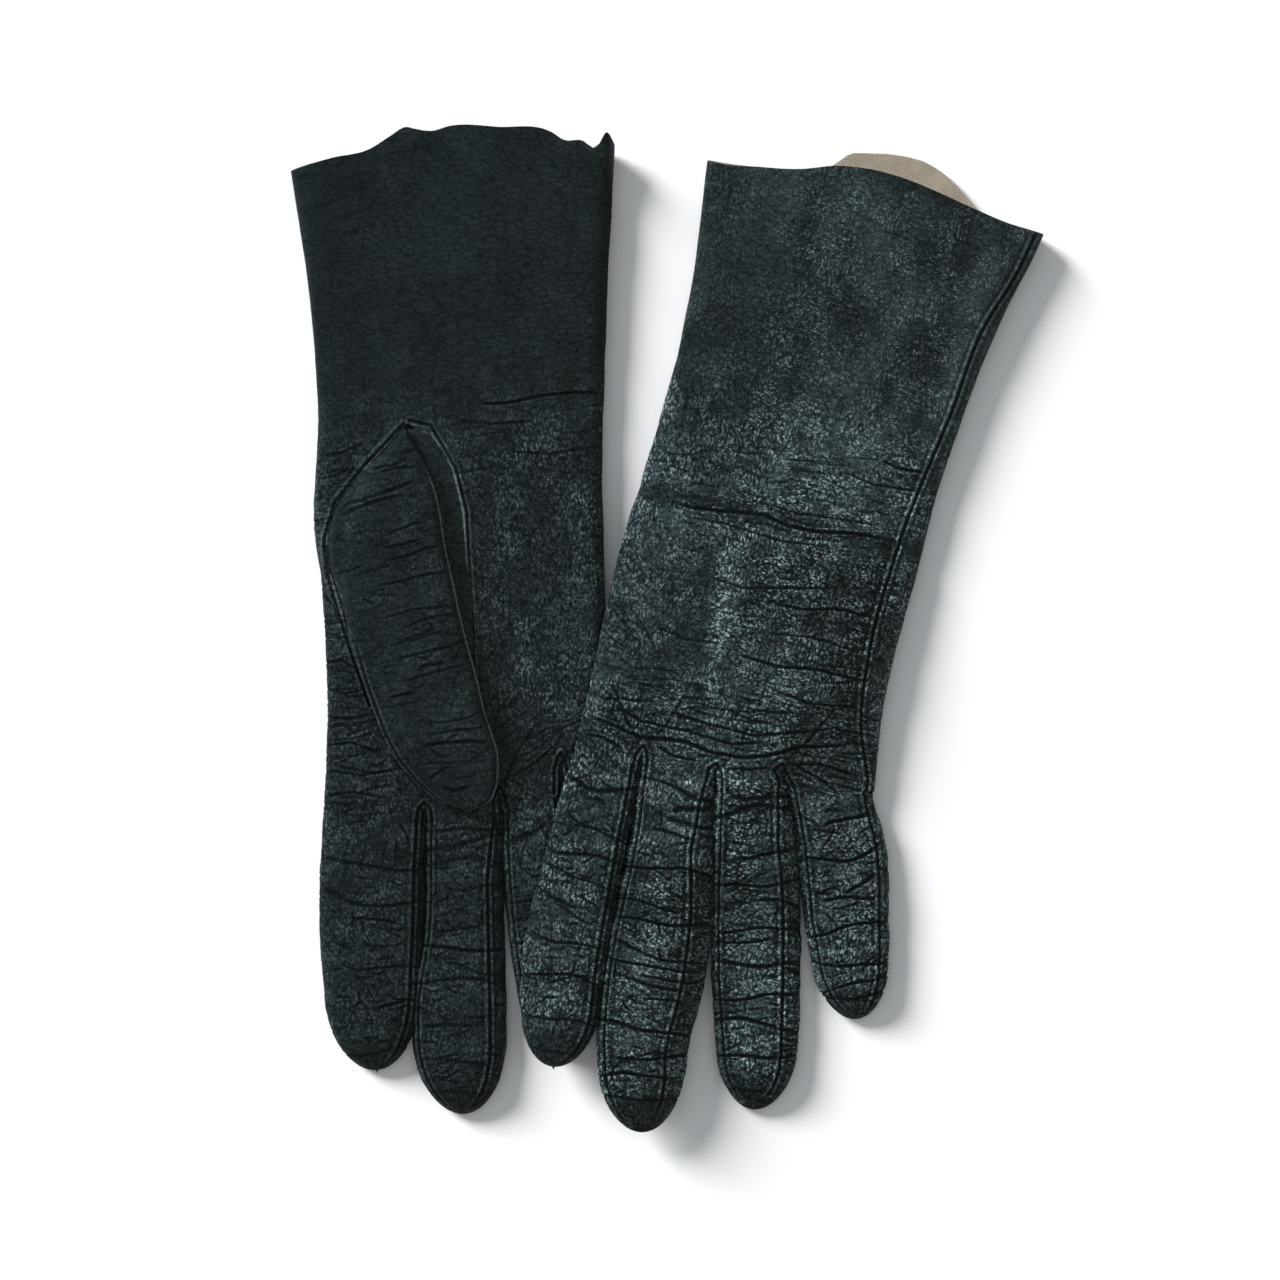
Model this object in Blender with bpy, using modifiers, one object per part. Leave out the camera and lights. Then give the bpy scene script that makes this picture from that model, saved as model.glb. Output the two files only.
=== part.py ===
"""A pair of gauntlet-cuffed leather gloves lying flat, the left glove's fingers over the right's.

Each glove is drawn in its own flat frame: u runs across the hand from the thumb side to the little
finger, v runs from the fingertips to the cuff, and v = 0 is near the finger crotches. Every leather
piece is an open sheet bent to its section and thickened to the hide. The right glove lies palm up
with its thumb on the palm, the left one lies palm down with its thumb under the palm.
"""

import math

import bmesh
import bpy
import numpy as np
from mathutils import Matrix, Vector

# Driving dimensions, in metres.
HIDE = 0.0008  # leather thickness
JOIN = 0.0003  # gap between pieces that are sewn together
HINGE_GAP = 0.0005  # gap on each side of a fold line that moves
FINGER_GAP = 0.0010  # gap between neighbouring fingers where they leave the hand
HAND_HEIGHT = 0.0066  # outside height of the flattened hand and cuff
FINGER_HEIGHT = 0.0052
THUMB_HEIGHT = 0.0052
TIP_HEIGHT = 0.0028  # where a finger closes at its tip
MOUTH_HEIGHT = 0.0084  # the cuff opens a little towards its rim
LEFT_LIFT = 0.0072  # how far the left glove's thumb side lies above the surface
WRIST = 0.120  # v of the wrist fold
THREAD_RADIUS = 0.00035
SEAM_INSET = 0.0042  # how far the left glove's side seam lies in from its edge
FOURCHETTE_INSET = 0.0004  # how far a fourchette's wall stands in from the finger's edge
PAST_HOLE = 0.004  # how far a cutter reaches past what it cuts
ARC_STEPS = 3

LEATHER_COLOUR = (0.016, 0.022, 0.025, 1)
THREAD_COLOUR = (0.006, 0.008, 0.009, 1)


def mm(*values):
    return tuple(value / 1000 for value in values)


def curve_of(*pairs):
    """A function through (where, value) pairs in millimetres, with straight runs between them."""
    where, value = zip(*sorted(pairs))
    return lambda x: float(np.interp(x * 1000, where, value)) / 1000


def step(x, low, high):
    """0 below low, 1 above high, straight between."""
    return min(max((x - low) / (high - low), 0), 1)


# The thumb lies the same way in both gloves. Its edges are given by v.
THUMB_LEFT = curve_of((-3, -2), (0, -9), (8, -17), (30, -28), (50, -33), (62, -33), (80, -26), (106, -16))
THUMB_RIGHT = curve_of((-3, 5), (0, 9), (9, 11), (30, 6.3), (63, -2.4), (88, -9), (106, -12))
THUMB_AXIS = (mm(-18.5, 110), mm(-41, 45))
THUMB_TOP, THUMB_TIP = 0.105, -0.003
THUMB_MOUTH_END = 0.047  # the thumb's inner half stops here, and the hand's thumb goes in above it
HOLE_CENTRE, HOLE_RADII = mm(-17.5, 63), mm(19.5, 44)
MOUTH_CENTRE, MOUTH_RADII = mm(-20, 72), mm(11.5, 24)


def right_lift(u, v):
    return 0.0


def left_lift(u, v):
    """The left glove lies over the right glove's fingers and over its own thumb."""
    over_fingers = 1 - step(u, -0.008, 0.018)
    over_thumb = 1 - step(u, 0.012, 0.043)
    share = step(v, -0.040, -0.008)
    across = over_fingers * (1 - share) + over_thumb * share
    return LEFT_LIFT * across * (1 - step(v, 0.055, 0.117))


RIGHT = {
    "name": "right",
    "origin": mm(-62.1, -50.6),
    "turn": 0.0,
    "palm_up": True,
    "lift": right_lift,
    "thumb_side": curve_of(
        (-7, -42), (18, -41), (60, -42), (84, -44.4), (114, -43.5), (150, -46), (172, -49), (202, -54)
    ),
    "little_side": curve_of((9, 45.5), (40, 44), (69, 42.6), (120, 42.6), (150, 43.5), (202, 46)),
    "rim_top": curve_of((-52, 188), (-40, 192), (-27, 195), (-17, 201), (0, 201), (29, 199.5), (46, 195)),
    "rim_bottom": curve_of((-52, 188), (-20, 194), (10, 196), (46, 196)),
    "knuckles": (mm(-42, -6.5), mm(-13.5, -6.5), mm(12, -6.5), mm(30, 1.6), mm(45.5, 8.5)),
    "fingers": (
        {"name": "index", "tip": mm(-27, -81.9), "width": 0.0285},
        {"name": "middle", "tip": mm(0.6, -95.1), "width": 0.0258},
        {"name": "ring", "tip": mm(31, -77), "width": 0.0220},
        {"name": "little", "tip": mm(52, -53), "width": 0.0185},
    ),
    # Fingers that fold about one shared line name the knuckles at its ends.
    "fold_groups": ((0, 2), (0, 2), (2, 4), (2, 4)),
    "folds_down": (False, False, True, True),
}
LEFT = {
    "name": "left",
    "origin": mm(15.6, -47.6),
    "turn": -13.0,
    "palm_up": False,
    "lift": left_lift,
    "thumb_side": curve_of(
        (-4, -45.8), (45, -46), (66, -45.6), (91, -43.6), (116, -42.3), (141, -42.4), (171, -45), (200, -48)
    ),
    "little_side": curve_of(
        (10, 43), (31, 40.3), (55, 40), (80, 41.8), (105, 43.4), (131, 46.5), (156, 50.4), (184, 57.7)
    ),
    "rim_top": curve_of(
        (-47, 183), (-31, 184.4), (-19, 186.4), (-8, 190.6), (6, 193.6), (23, 191), (36, 187), (58, 183.6)
    ),
    "rim_bottom": curve_of((-47, 183), (-25, 187), (-8, 194), (5, 197.4), (20, 194), (36, 187.4), (58, 183.6)),
    "knuckles": (mm(-45.8, -4), mm(-24, -0.6), mm(-1, 3.0), mm(20, 6.4), mm(43, 10)),
    "fingers": (
        {"name": "index", "tip": mm(-28.6, -92.2), "width": 0.0243},
        {"name": "middle", "tip": mm(-0.9, -105.5), "width": 0.0250},
        {"name": "ring", "tip": mm(30.7, -91.7), "width": 0.0262},
        {"name": "little", "tip": mm(56.5, -58.1), "width": 0.0240},
    ),
    "fold_groups": ((0, 4),) * 4,
    "folds_down": (False,) * 4,
}


def place(glove, u, v, z):
    """A point of the glove's flat frame in the world."""
    turn = math.radians(glove["turn"])
    x, y = glove["origin"]
    return Vector(
        (
            x + u * math.cos(turn) - v * math.sin(turn),
            y + u * math.sin(turn) + v * math.cos(turn),
            z + glove["lift"](u, v),
        )
    )


def material(name, colour, roughness):
    made = bpy.data.materials.get(name) or bpy.data.materials.new(name)
    made.use_nodes = True
    shader = made.node_tree.nodes["Principled BSDF"]
    shader.inputs["Base Color"].default_value = colour
    shader.inputs["Roughness"].default_value = roughness
    return made


def leather():
    return material("glove_leather", LEATHER_COLOUR, 0.42)


def thread():
    return material("seam_thread", THREAD_COLOUR, 0.7)


def link(collection, name, mesh, surface):
    made = bpy.data.objects.new(name, mesh)
    mesh.materials.append(surface)
    collection.objects.link(made)
    return made


def sheet(collection, name, rows, above):
    """An open sheet through rows of points, thickened to the hide: upwards from it if above is true."""
    across, along = len(rows[0]), len(rows)
    bm = bmesh.new()
    bmesh.ops.create_grid(bm, x_segments=across - 1, y_segments=along - 1, size=1)
    for vert in bm.verts:
        i = round((vert.co.x + 1) / 2 * (across - 1))
        j = round((vert.co.y + 1) / 2 * (along - 1))
        vert.co = rows[j][i]
    mesh = bpy.data.meshes.new(name)
    bm.to_mesh(mesh)
    bm.free()
    made = link(collection, name, mesh, leather())
    hide = made.modifiers.new("hide", "SOLIDIFY")
    hide.thickness = HIDE
    hide.offset = 1 if above else -1
    hide.use_even_offset = True
    return made


def section(left, right, low, high, top, closed=(True, True), middle=6, join=JOIN):
    """(across, height) points of the upper or lower half of a flattened tube between two edges.

    A closed side bends round to meet the other half at mid height, and an open one stays flat.
    """
    radius = (high - low) / 2 - join / 2
    flat, meet = (high, high - radius) if top else (low, low + radius)
    bend = min(radius, 0.42 * (right - left))
    upright = meet + (flat - meet) * 0.2

    def side(is_closed):
        found = [(0.0, meet if is_closed else flat)]
        for i in range(ARC_STEPS):
            angle = i / ARC_STEPS * math.pi / 2
            if is_closed:
                found.append((bend * (1 - math.cos(angle)), upright + (flat - upright) * math.sin(angle)))
            else:
                found.append((bend * (i + 1) / (ARC_STEPS + 1), flat))
        return found

    start = [(left + x, z) for x, z in side(closed[0])]
    end = [(right - x, z) for x, z in reversed(side(closed[1]))]
    inner = np.linspace(left + bend, right - bend, middle)
    return start + [(float(x), flat) for x in inner] + end


def knuckle_line(glove, u):
    """v of the line through the knuckles at u."""
    us, vs = zip(*glove["knuckles"])
    return float(np.interp(u, us, vs))


def hand_row(glove, share, top):
    """A row of the hand's section, share 0 at the knuckles and 1 at the wrist."""
    start, end = -0.005, WRIST - HINGE_GAP
    v_middle = start + (end - start) * share
    height = FINGER_HEIGHT + (HAND_HEIGHT - FINGER_HEIGHT) * step(share, 0, 0.16)
    points = section(
        glove["thumb_side"](v_middle), glove["little_side"](v_middle), 0, height, top, middle=9
    )
    row = []
    for u, z in points:
        v_start = knuckle_line(glove, u) + HINGE_GAP
        row.append(place(glove, u, v_start + (end - v_start) * share, z))
    return row


def make_hand(collection, glove, top):
    rows = [hand_row(glove, share, top) for share in (0, 0.07, 0.16, 0.28, 0.4, 0.52, 0.64, 0.76, 0.88, 1)]
    return sheet(collection, hand_name(glove, top), rows, above=not top)


def face_name(glove, top):
    return "palm" if top == glove["palm_up"] else "back"


def hand_name(glove, top):
    return f"{glove['name']}_hand_{face_name(glove, top)}"


def make_cuff(collection, glove, top):
    rim = glove["rim_top" if top else "rim_bottom"]
    start = WRIST + HINGE_GAP
    rows = []
    for share in (0, 0.2, 0.4, 0.6, 0.8, 1):
        v_middle = start + (0.190 - start) * share
        height = HAND_HEIGHT + (MOUTH_HEIGHT - HAND_HEIGHT) * share
        left, right = glove["thumb_side"](v_middle), glove["little_side"](v_middle)
        points = section(left, right, 0, height, top, middle=9)
        rows.append([place(glove, u, start + (rim(u) - start) * share, z) for u, z in points])
    name = f"{glove['name']}_cuff_{face_name(glove, top)}"
    return sheet(collection, name, rows, above=not top)


def finger_frame(glove, index):
    """The middle of a finger's base, its unit direction to the tip and its length."""
    near, far = (Vector(point) for point in glove["knuckles"][index : index + 2])
    base = (near + far) / 2
    tip = Vector(glove["fingers"][index]["tip"])
    return base, (tip - base).normalized(), (tip - base).length


def clear_of_divider(glove, knuckle, point, inward):
    """The point, moved inward until it is clear of the line that parts two neighbouring fingers."""
    start = Vector(glove["knuckles"][knuckle])
    ahead = sum((finger_frame(glove, index)[1] for index in (knuckle - 1, knuckle)), Vector((0, 0)))
    ahead.normalize()
    normal = Vector((-ahead.y, ahead.x))
    if normal.dot(inward) < 0:
        normal.negate()
    short = FINGER_GAP / 2 - (point - start).dot(normal)
    return point + inward * (max(short, 0) / normal.dot(inward))


def finger_edges(glove, index, share):
    """The thumb-side and little-side edge points of a finger, share 0 at its base and 1 at its tip."""
    base, along, length = finger_frame(glove, index)
    near, far = (Vector(point) for point in glove["knuckles"][index : index + 2])
    half = glove["fingers"][index]["width"] / 2
    rounding = 0.80
    if share > rounding:
        half *= math.sqrt(1 - ((share - rounding) / (1 - rounding)) ** 2)
    across = Vector((-along.y, along.x))
    if across.x < 0:
        across.negate()
    centre = base + along * (length * share)
    left, right = centre - across * half, centre + across * half
    # Near the knuckle the edges run into the hand's own line, side by side with their neighbours.
    reach = step(share, 0, 0.35)
    side = (far - near).normalized() * (FINGER_GAP / 2)
    start = along * HINGE_GAP
    left = (near + side + start) * (1 - reach) + left * reach
    right = (far - side + start) * (1 - reach) + right * reach
    if index > 0:
        left = clear_of_divider(glove, index, left, across)
    if index < len(glove["fingers"]) - 1:
        right = clear_of_divider(glove, index + 1, right, -across)
    return left, right


def finger_height(share):
    closing = step(share, 0.90, 1)
    return TIP_HEIGHT + (FINGER_HEIGHT - TIP_HEIGHT) * math.sqrt(1 - closing**2)


def make_finger_strip(collection, glove, index, top):
    last = len(glove["fingers"]) - 1
    rows = []
    for share in (0, 0.18, 0.35, 0.5, 0.65, 0.8, 0.88, 0.94, 0.975, 0.99):
        left, right = finger_edges(glove, index, share)
        width = (right - left).length
        closed = (index == 0 or share > 0.9, index == last or share > 0.9)
        join = JOIN * (1 + 2 * step(share, 0.90, 0.96))
        points = section(0, width, 0, finger_height(share), top, closed, middle=4, join=join)
        rows.append(
            [place(glove, *left.lerp(right, x / width), z) for x, z in points]
        )
    rows.reverse()
    name = f"{glove['name']}_{glove['fingers'][index]['name']}_{face_name(glove, top)}_strip"
    return sheet(collection, name, rows, above=not top)


def make_fourchette(collection, glove, index, little_side):
    """The strip that joins a finger's palm strip to its back strip along one side."""
    low, high = HIDE + JOIN, FINGER_HEIGHT - HIDE - JOIN
    rows = []
    for share in (0.02, 0.18, 0.35, 0.5, 0.65, 0.78, 0.86):
        left, right = finger_edges(glove, index, share)
        edge, other = (right, left) if little_side else (left, right)
        inside = edge + (other - edge).normalized() * FOURCHETTE_INSET
        rows.append([place(glove, *inside, low), place(glove, *inside, high)])
    if not little_side:
        rows.reverse()
    side = "little_side" if little_side else "thumb_side"
    name = f"{glove['name']}_{glove['fingers'][index]['name']}_fourchette_{side}"
    return sheet(collection, name, rows, above=False)


def thumb_section(glove, v, top):
    """A row of the thumb's section. It tapers towards the wrist, where it runs into the hand."""
    taper = 1 - 0.55 * step(v, 0.060, 0.106)
    tip = math.sqrt(1 - step(v, 0.006, THUMB_TIP - 0.0005) ** 2)
    height = THUMB_HEIGHT * taper * (0.55 + 0.45 * tip)
    low = HAND_HEIGHT + JOIN if glove["palm_up"] else 0
    points = section(THUMB_LEFT(v), THUMB_RIGHT(v), low, low + height, top, middle=4)
    if glove["palm_up"]:
        return [place(glove, u, v, z) for u, z in points]
    return [place(glove, u, v, z - left_lift(u, v)) for u, z in points]


def make_thumb(collection, glove, outer):
    """One half of the thumb: the outer half faces away from the palm."""
    top = outer == glove["palm_up"]
    whole = (THUMB_TIP, -0.001, 0.003, 0.009, 0.020, 0.033, 0.046, 0.062, 0.078, 0.092, THUMB_TOP)
    rows = [thumb_section(glove, v, top) for v in whole if outer or v < THUMB_MOUTH_END]
    name = f"{glove['name']}_thumb_{'outer' if outer else 'inner'}_half"
    return sheet(collection, name, rows, above=not top)


def palm_plane(glove):
    """Lowest and highest z of the palm leather under or over the thumb, before the lift."""
    return (HAND_HEIGHT - HIDE, HAND_HEIGHT) if glove["palm_up"] else (0, HIDE)


def ellipse_prism(name, glove, centre, radii, low, high, sides=28):
    """An upright elliptical prism in the glove's frame, which follows the glove's lift."""
    bm = bmesh.new()
    bmesh.ops.create_cone(
        bm, cap_ends=True, segments=sides, radius1=1, radius2=1, depth=1
    )
    for vert in bm.verts:
        u = centre[0] + radii[0] * vert.co.x
        v = centre[1] + radii[1] * vert.co.y
        vert.co = place(glove, u, v, low if vert.co.z < 0 else high)
    mesh = bpy.data.meshes.new(name)
    bm.to_mesh(mesh)
    bm.free()
    return mesh


def cut(target, cutter):
    difference = target.modifiers.new("cut", "BOOLEAN")
    difference.operation = "DIFFERENCE"
    difference.solver = "EXACT"
    difference.object = cutter


def make_cutter(cutters, name, mesh):
    made = bpy.data.objects.new(name, mesh)
    made.hide_render = True
    made.display_type = "WIRE"
    cutters.objects.link(made)
    return made


def make_thumb_gusset(collection, cutters, glove):
    """The oval of leather set in the palm's thumb hole, with the mouth that leads into the thumb."""
    low, high = palm_plane(glove)
    name = f"{glove['name']}_thumb_gusset"
    radii = (HOLE_RADII[0] - JOIN, HOLE_RADII[1] - JOIN)
    mesh = ellipse_prism(name, glove, HOLE_CENTRE, radii, low, high)
    gusset = link(collection, name, mesh, leather())
    mouth = ellipse_prism("mouth_cutter", glove, MOUTH_CENTRE, MOUTH_RADII, low - PAST_HOLE, high + PAST_HOLE)
    cut(gusset, make_cutter(cutters, f"{glove['name']}_mouth_cutter", mouth))
    return gusset


def cut_thumb_hole(cutters, glove, palm):
    low, high = palm_plane(glove)
    mesh = ellipse_prism("hole_cutter", glove, HOLE_CENTRE, HOLE_RADII, low - PAST_HOLE, high + PAST_HOLE)
    cut(palm, make_cutter(cutters, f"{glove['name']}_hole_cutter", mesh))


def make_thread(collection, name, points):
    """A sewing thread laid along points, as a thin tube."""
    curve = bpy.data.curves.new(name, "CURVE")
    curve.dimensions = "3D"
    curve.bevel_depth = THREAD_RADIUS
    curve.bevel_resolution = 1
    curve.use_fill_caps = True
    spline = curve.splines.new("POLY")
    spline.points.add(len(points) - 1)
    for spot, point in zip(spline.points, points):
        spot.co = (*point, 1)
    return link(collection, name, curve, thread())


def make_side_seam(collection, glove, name, start, end, height):
    """The thread of the seam that closes the glove along the little finger's side."""
    clear = 2 * JOIN + THREAD_RADIUS
    points = []
    for v in np.linspace(start, end, 9):
        edge = glove["little_side"](v)
        if glove["palm_up"]:
            points.append(place(glove, edge + clear, v, height(v) / 2))
        else:
            inset = SEAM_INSET
            points.append(place(glove, edge - inset, v, height(v) + clear))
    return make_thread(collection, f"{glove['name']}_{name}", points)


def mouth_height(v):
    return HAND_HEIGHT + (MOUTH_HEIGHT - HAND_HEIGHT) * step(v, WRIST, 0.190)


def fold_line(glove, start, end, z):
    """The middle of a fold line and its unit direction, from two points of the glove's frame."""
    near, far = (place(glove, *point, 0) for point in (start, end))
    near.z = far.z = z
    return (near + far) / 2, (far - near).normalized()


def finger_fold(glove, index):
    """A finger's fold line. The right ring and little fingers, under the left glove, fold down."""
    first, last = glove["fold_groups"][index]
    thumb_side, little_side = glove["knuckles"][first], glove["knuckles"][last]
    top = glove["lift"](*thumb_side) + FINGER_HEIGHT + JOIN
    if glove["folds_down"][index]:
        _, along = fold_line(glove, thumb_side, little_side, -JOIN)
        spot, _ = fold_line(glove, *glove["knuckles"][index : index + 2], -JOIN)
    else:
        _, along = fold_line(glove, little_side, thumb_side, top)
        spot, _ = fold_line(glove, *glove["knuckles"][index : index + 2], top)
    return spot, along


def folds_of(glove):
    """Each moving body of a glove, with a point on its fold line and the line's direction."""
    folds = {"cuff": fold_line(glove, (-0.02, WRIST), (0.02, WRIST), HAND_HEIGHT + JOIN)}
    if glove["palm_up"]:
        folds["thumb"] = fold_line(glove, *THUMB_AXIS, HAND_HEIGHT + JOIN + THUMB_HEIGHT / 2)
    else:
        folds["thumb"] = fold_line(glove, *reversed(THUMB_AXIS), THUMB_HEIGHT / 2)
    for index, finger in enumerate(glove["fingers"]):
        folds[finger["name"]] = finger_fold(glove, index)
    return folds


def hang_on(collection, name, where, children):
    """Hang a body's pieces on an empty that stands on its joint's axis."""
    pivot = bpy.data.objects.new(name, None)
    pivot.location = where
    pivot.empty_display_size = 0.01
    collection.objects.link(pivot)
    for child in children:
        child.parent = pivot
        child.matrix_parent_inverse = Matrix.Translation(where).inverted()
    return pivot


def make_hand_pieces(collection, cutters, glove):
    hand = [make_hand(collection, glove, top) for top in (False, True)]
    palm = hand[1 if glove["palm_up"] else 0]
    cut_thumb_hole(cutters, glove, palm)
    gusset = make_thumb_gusset(collection, cutters, glove)
    seam = make_side_seam(collection, glove, "hand_side_seam", 0.022, WRIST - 0.002, lambda v: HAND_HEIGHT)
    return [*hand, gusset, seam]


def make_cuff_pieces(collection, glove):
    cuff = [make_cuff(collection, glove, top) for top in (False, True)]
    return [*cuff, make_side_seam(collection, glove, "cuff_side_seam", WRIST + 0.002, 0.181, mouth_height)]


def make_finger_pieces(collection, glove, index):
    pieces = [make_finger_strip(collection, glove, index, top) for top in (False, True)]
    if index > 0:
        pieces.append(make_fourchette(collection, glove, index, little_side=False))
    if index < len(glove["fingers"]) - 1:
        pieces.append(make_fourchette(collection, glove, index, little_side=True))
    return pieces


def make_glove(collection, cutters, glove):
    name = glove["name"]
    middle = place(glove, 0, WRIST / 2, 0)
    hand = hang_on(collection, f"{name}_hand", middle, make_hand_pieces(collection, cutters, glove))
    pieces = {
        "cuff": make_cuff_pieces(collection, glove),
        "thumb": [make_thumb(collection, glove, outer) for outer in (True, False)],
    }
    for index, finger in enumerate(glove["fingers"]):
        pieces[finger["name"]] = make_finger_pieces(collection, glove, index)
    for body, (where, _) in folds_of(glove).items():
        pivot = hang_on(collection, f"{name}_{body}", where, pieces[body])
        pivot.parent = hand
        pivot.matrix_parent_inverse = Matrix.Translation(middle).inverted()


def main():
    for old in list(bpy.data.objects):
        bpy.data.objects.remove(old)
    parts = bpy.data.collections.new("leather_gloves")
    cutters = bpy.data.collections.new("cutters")
    for collection in (parts, cutters):
        bpy.context.scene.collection.children.link(collection)
    for glove in (RIGHT, LEFT):
        make_glove(parts, cutters, glove)


main()
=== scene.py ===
"""Looks of a pair of long leather gloves lying flat.

Each glove is made in its own flat frame, in millimetres: u runs across the hand from the thumb side to
the little finger, v from the fingertips to the cuff, and z up from the surface. A glove's hand, cuff and
fingers are grids of points round a flattened tube. Relief (creases, seams, crumple) is added along the
surface's normal, and each grid is then cut into the same pieces as the frame's: back, palm, strips and
fourchettes, each a closed solid of hide with a dark grain side; the hand's and cuff's pieces show a tan
flesh side inside.
"""

import math
from types import SimpleNamespace

import bpy
import numpy as np
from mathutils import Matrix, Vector

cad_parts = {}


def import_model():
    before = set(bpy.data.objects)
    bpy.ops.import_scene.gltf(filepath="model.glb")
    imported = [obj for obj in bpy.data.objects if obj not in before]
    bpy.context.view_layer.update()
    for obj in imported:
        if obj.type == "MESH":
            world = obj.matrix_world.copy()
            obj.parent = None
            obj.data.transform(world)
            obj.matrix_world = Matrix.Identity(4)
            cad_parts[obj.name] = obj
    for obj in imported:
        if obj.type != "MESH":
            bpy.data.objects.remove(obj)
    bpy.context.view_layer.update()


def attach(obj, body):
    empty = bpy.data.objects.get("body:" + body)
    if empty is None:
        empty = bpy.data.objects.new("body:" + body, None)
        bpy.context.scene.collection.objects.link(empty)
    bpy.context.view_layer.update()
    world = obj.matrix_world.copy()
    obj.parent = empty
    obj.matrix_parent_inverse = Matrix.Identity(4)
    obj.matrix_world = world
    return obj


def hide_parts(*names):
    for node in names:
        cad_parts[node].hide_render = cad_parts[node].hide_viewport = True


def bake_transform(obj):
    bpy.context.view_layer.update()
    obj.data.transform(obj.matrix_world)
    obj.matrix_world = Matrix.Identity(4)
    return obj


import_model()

MM = 0.001
HIDE = 0.8  # thickness of the leather
ROOTS = 6  # about where the fingers' roots are along v
WRIST = 120.0  # v of the line between hand and cuff
CUFF_LENGTH = 74
HAND_HEIGHT = 6.6  # height of the flattened hand
FINGER_HEIGHT = 5.2
MOUTH_HEIGHT = 8.6  # height of the cuff at its rim
LEFT_LIFT = 7.2  # how far the left glove is raised where it lies on something
ROW_STEP = 0.33  # spacing of a grid's rows
ROUND = 1.7  # how wide a tube's rounded edges are for their height
INNER_STEP = 2.2  # spacing of the flesh side's points
RANDOM = np.random.default_rng(7)


# ---------------------------------------------------------------- curves and noise


def curve_through(*points):
    """A smooth function through (where, value) points."""
    x, y = np.array(sorted(points), float).T
    slope = np.gradient(y, x) if len(x) > 2 else np.full(2, (y[1] - y[0]) / (x[1] - x[0]))

    def at(q):
        q = np.clip(q, x[0], x[-1])
        i = np.clip(np.searchsorted(x, q, side="right") - 1, 0, len(x) - 2)
        h = x[i + 1] - x[i]
        t = (q - x[i]) / h
        return (
            (2 * t**3 - 3 * t**2 + 1) * y[i]
            + (t**3 - 2 * t**2 + t) * h * slope[i]
            + (3 * t**2 - 2 * t**3) * y[i + 1]
            + (t**3 - t**2) * h * slope[i + 1]
        )

    return at


def path_through(points, share):
    """Points on a smooth path at shares of its length, and its unit direction there."""
    points = np.array(points, float)
    along = np.concatenate([[0], np.cumsum(np.linalg.norm(np.diff(points, axis=0), axis=1))])
    along /= along[-1]
    curves = [curve_through(*zip(along, points[:, k])) for k in range(2)]
    step = 1e-3
    where = np.stack([curve(share) for curve in curves], -1)
    ahead = np.stack([curve(np.clip(share + step, 0, 1)) for curve in curves], -1)
    behind = np.stack([curve(np.clip(share - step, 0, 1)) for curve in curves], -1)
    direction = ahead - behind
    return where, direction / np.linalg.norm(direction, axis=-1, keepdims=True)


def smooth_step(x, low, high):
    t = np.clip((x - low) / (high - low), 0, 1)
    return t * t * (3 - 2 * t)


def straight_step(x, low, high):
    return np.clip((x - low) / (high - low), 0, 1)


LATTICE = 256  # cells of the noise before it repeats
LATTICE_ANGLES = RANDOM.uniform(0, 2 * math.pi, (LATTICE, LATTICE))


def noise(x, y, seed=0):
    """Gradient noise of two coordinates, about -0.7 to 0.7, one cell for each unit."""
    x = x + 17.31 * seed
    y = y + 9.73 * seed
    i, j = np.floor(x).astype(int), np.floor(y).astype(int)
    fx, fy = x - i, y - j

    def corner(di, dj):
        angle = LATTICE_ANGLES[(i + di) % LATTICE, (j + dj) % LATTICE]
        return np.cos(angle) * (fx - di) + np.sin(angle) * (fy - dj)

    sx, sy = fx**3 * (fx * (fx * 6 - 15) + 10), fy**3 * (fy * (fy * 6 - 15) + 10)
    low = corner(0, 0) * (1 - sx) + corner(1, 0) * sx
    high = corner(0, 1) * (1 - sx) + corner(1, 1) * sx
    return low * (1 - sy) + high * sy


def ridged(x, y, seed=0):
    """Thin valleys of depth 1 between rounded cells."""
    return -np.exp(-((noise(x, y, seed) / 0.09) ** 2))


# ---------------------------------------------------------------- the two gloves

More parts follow.
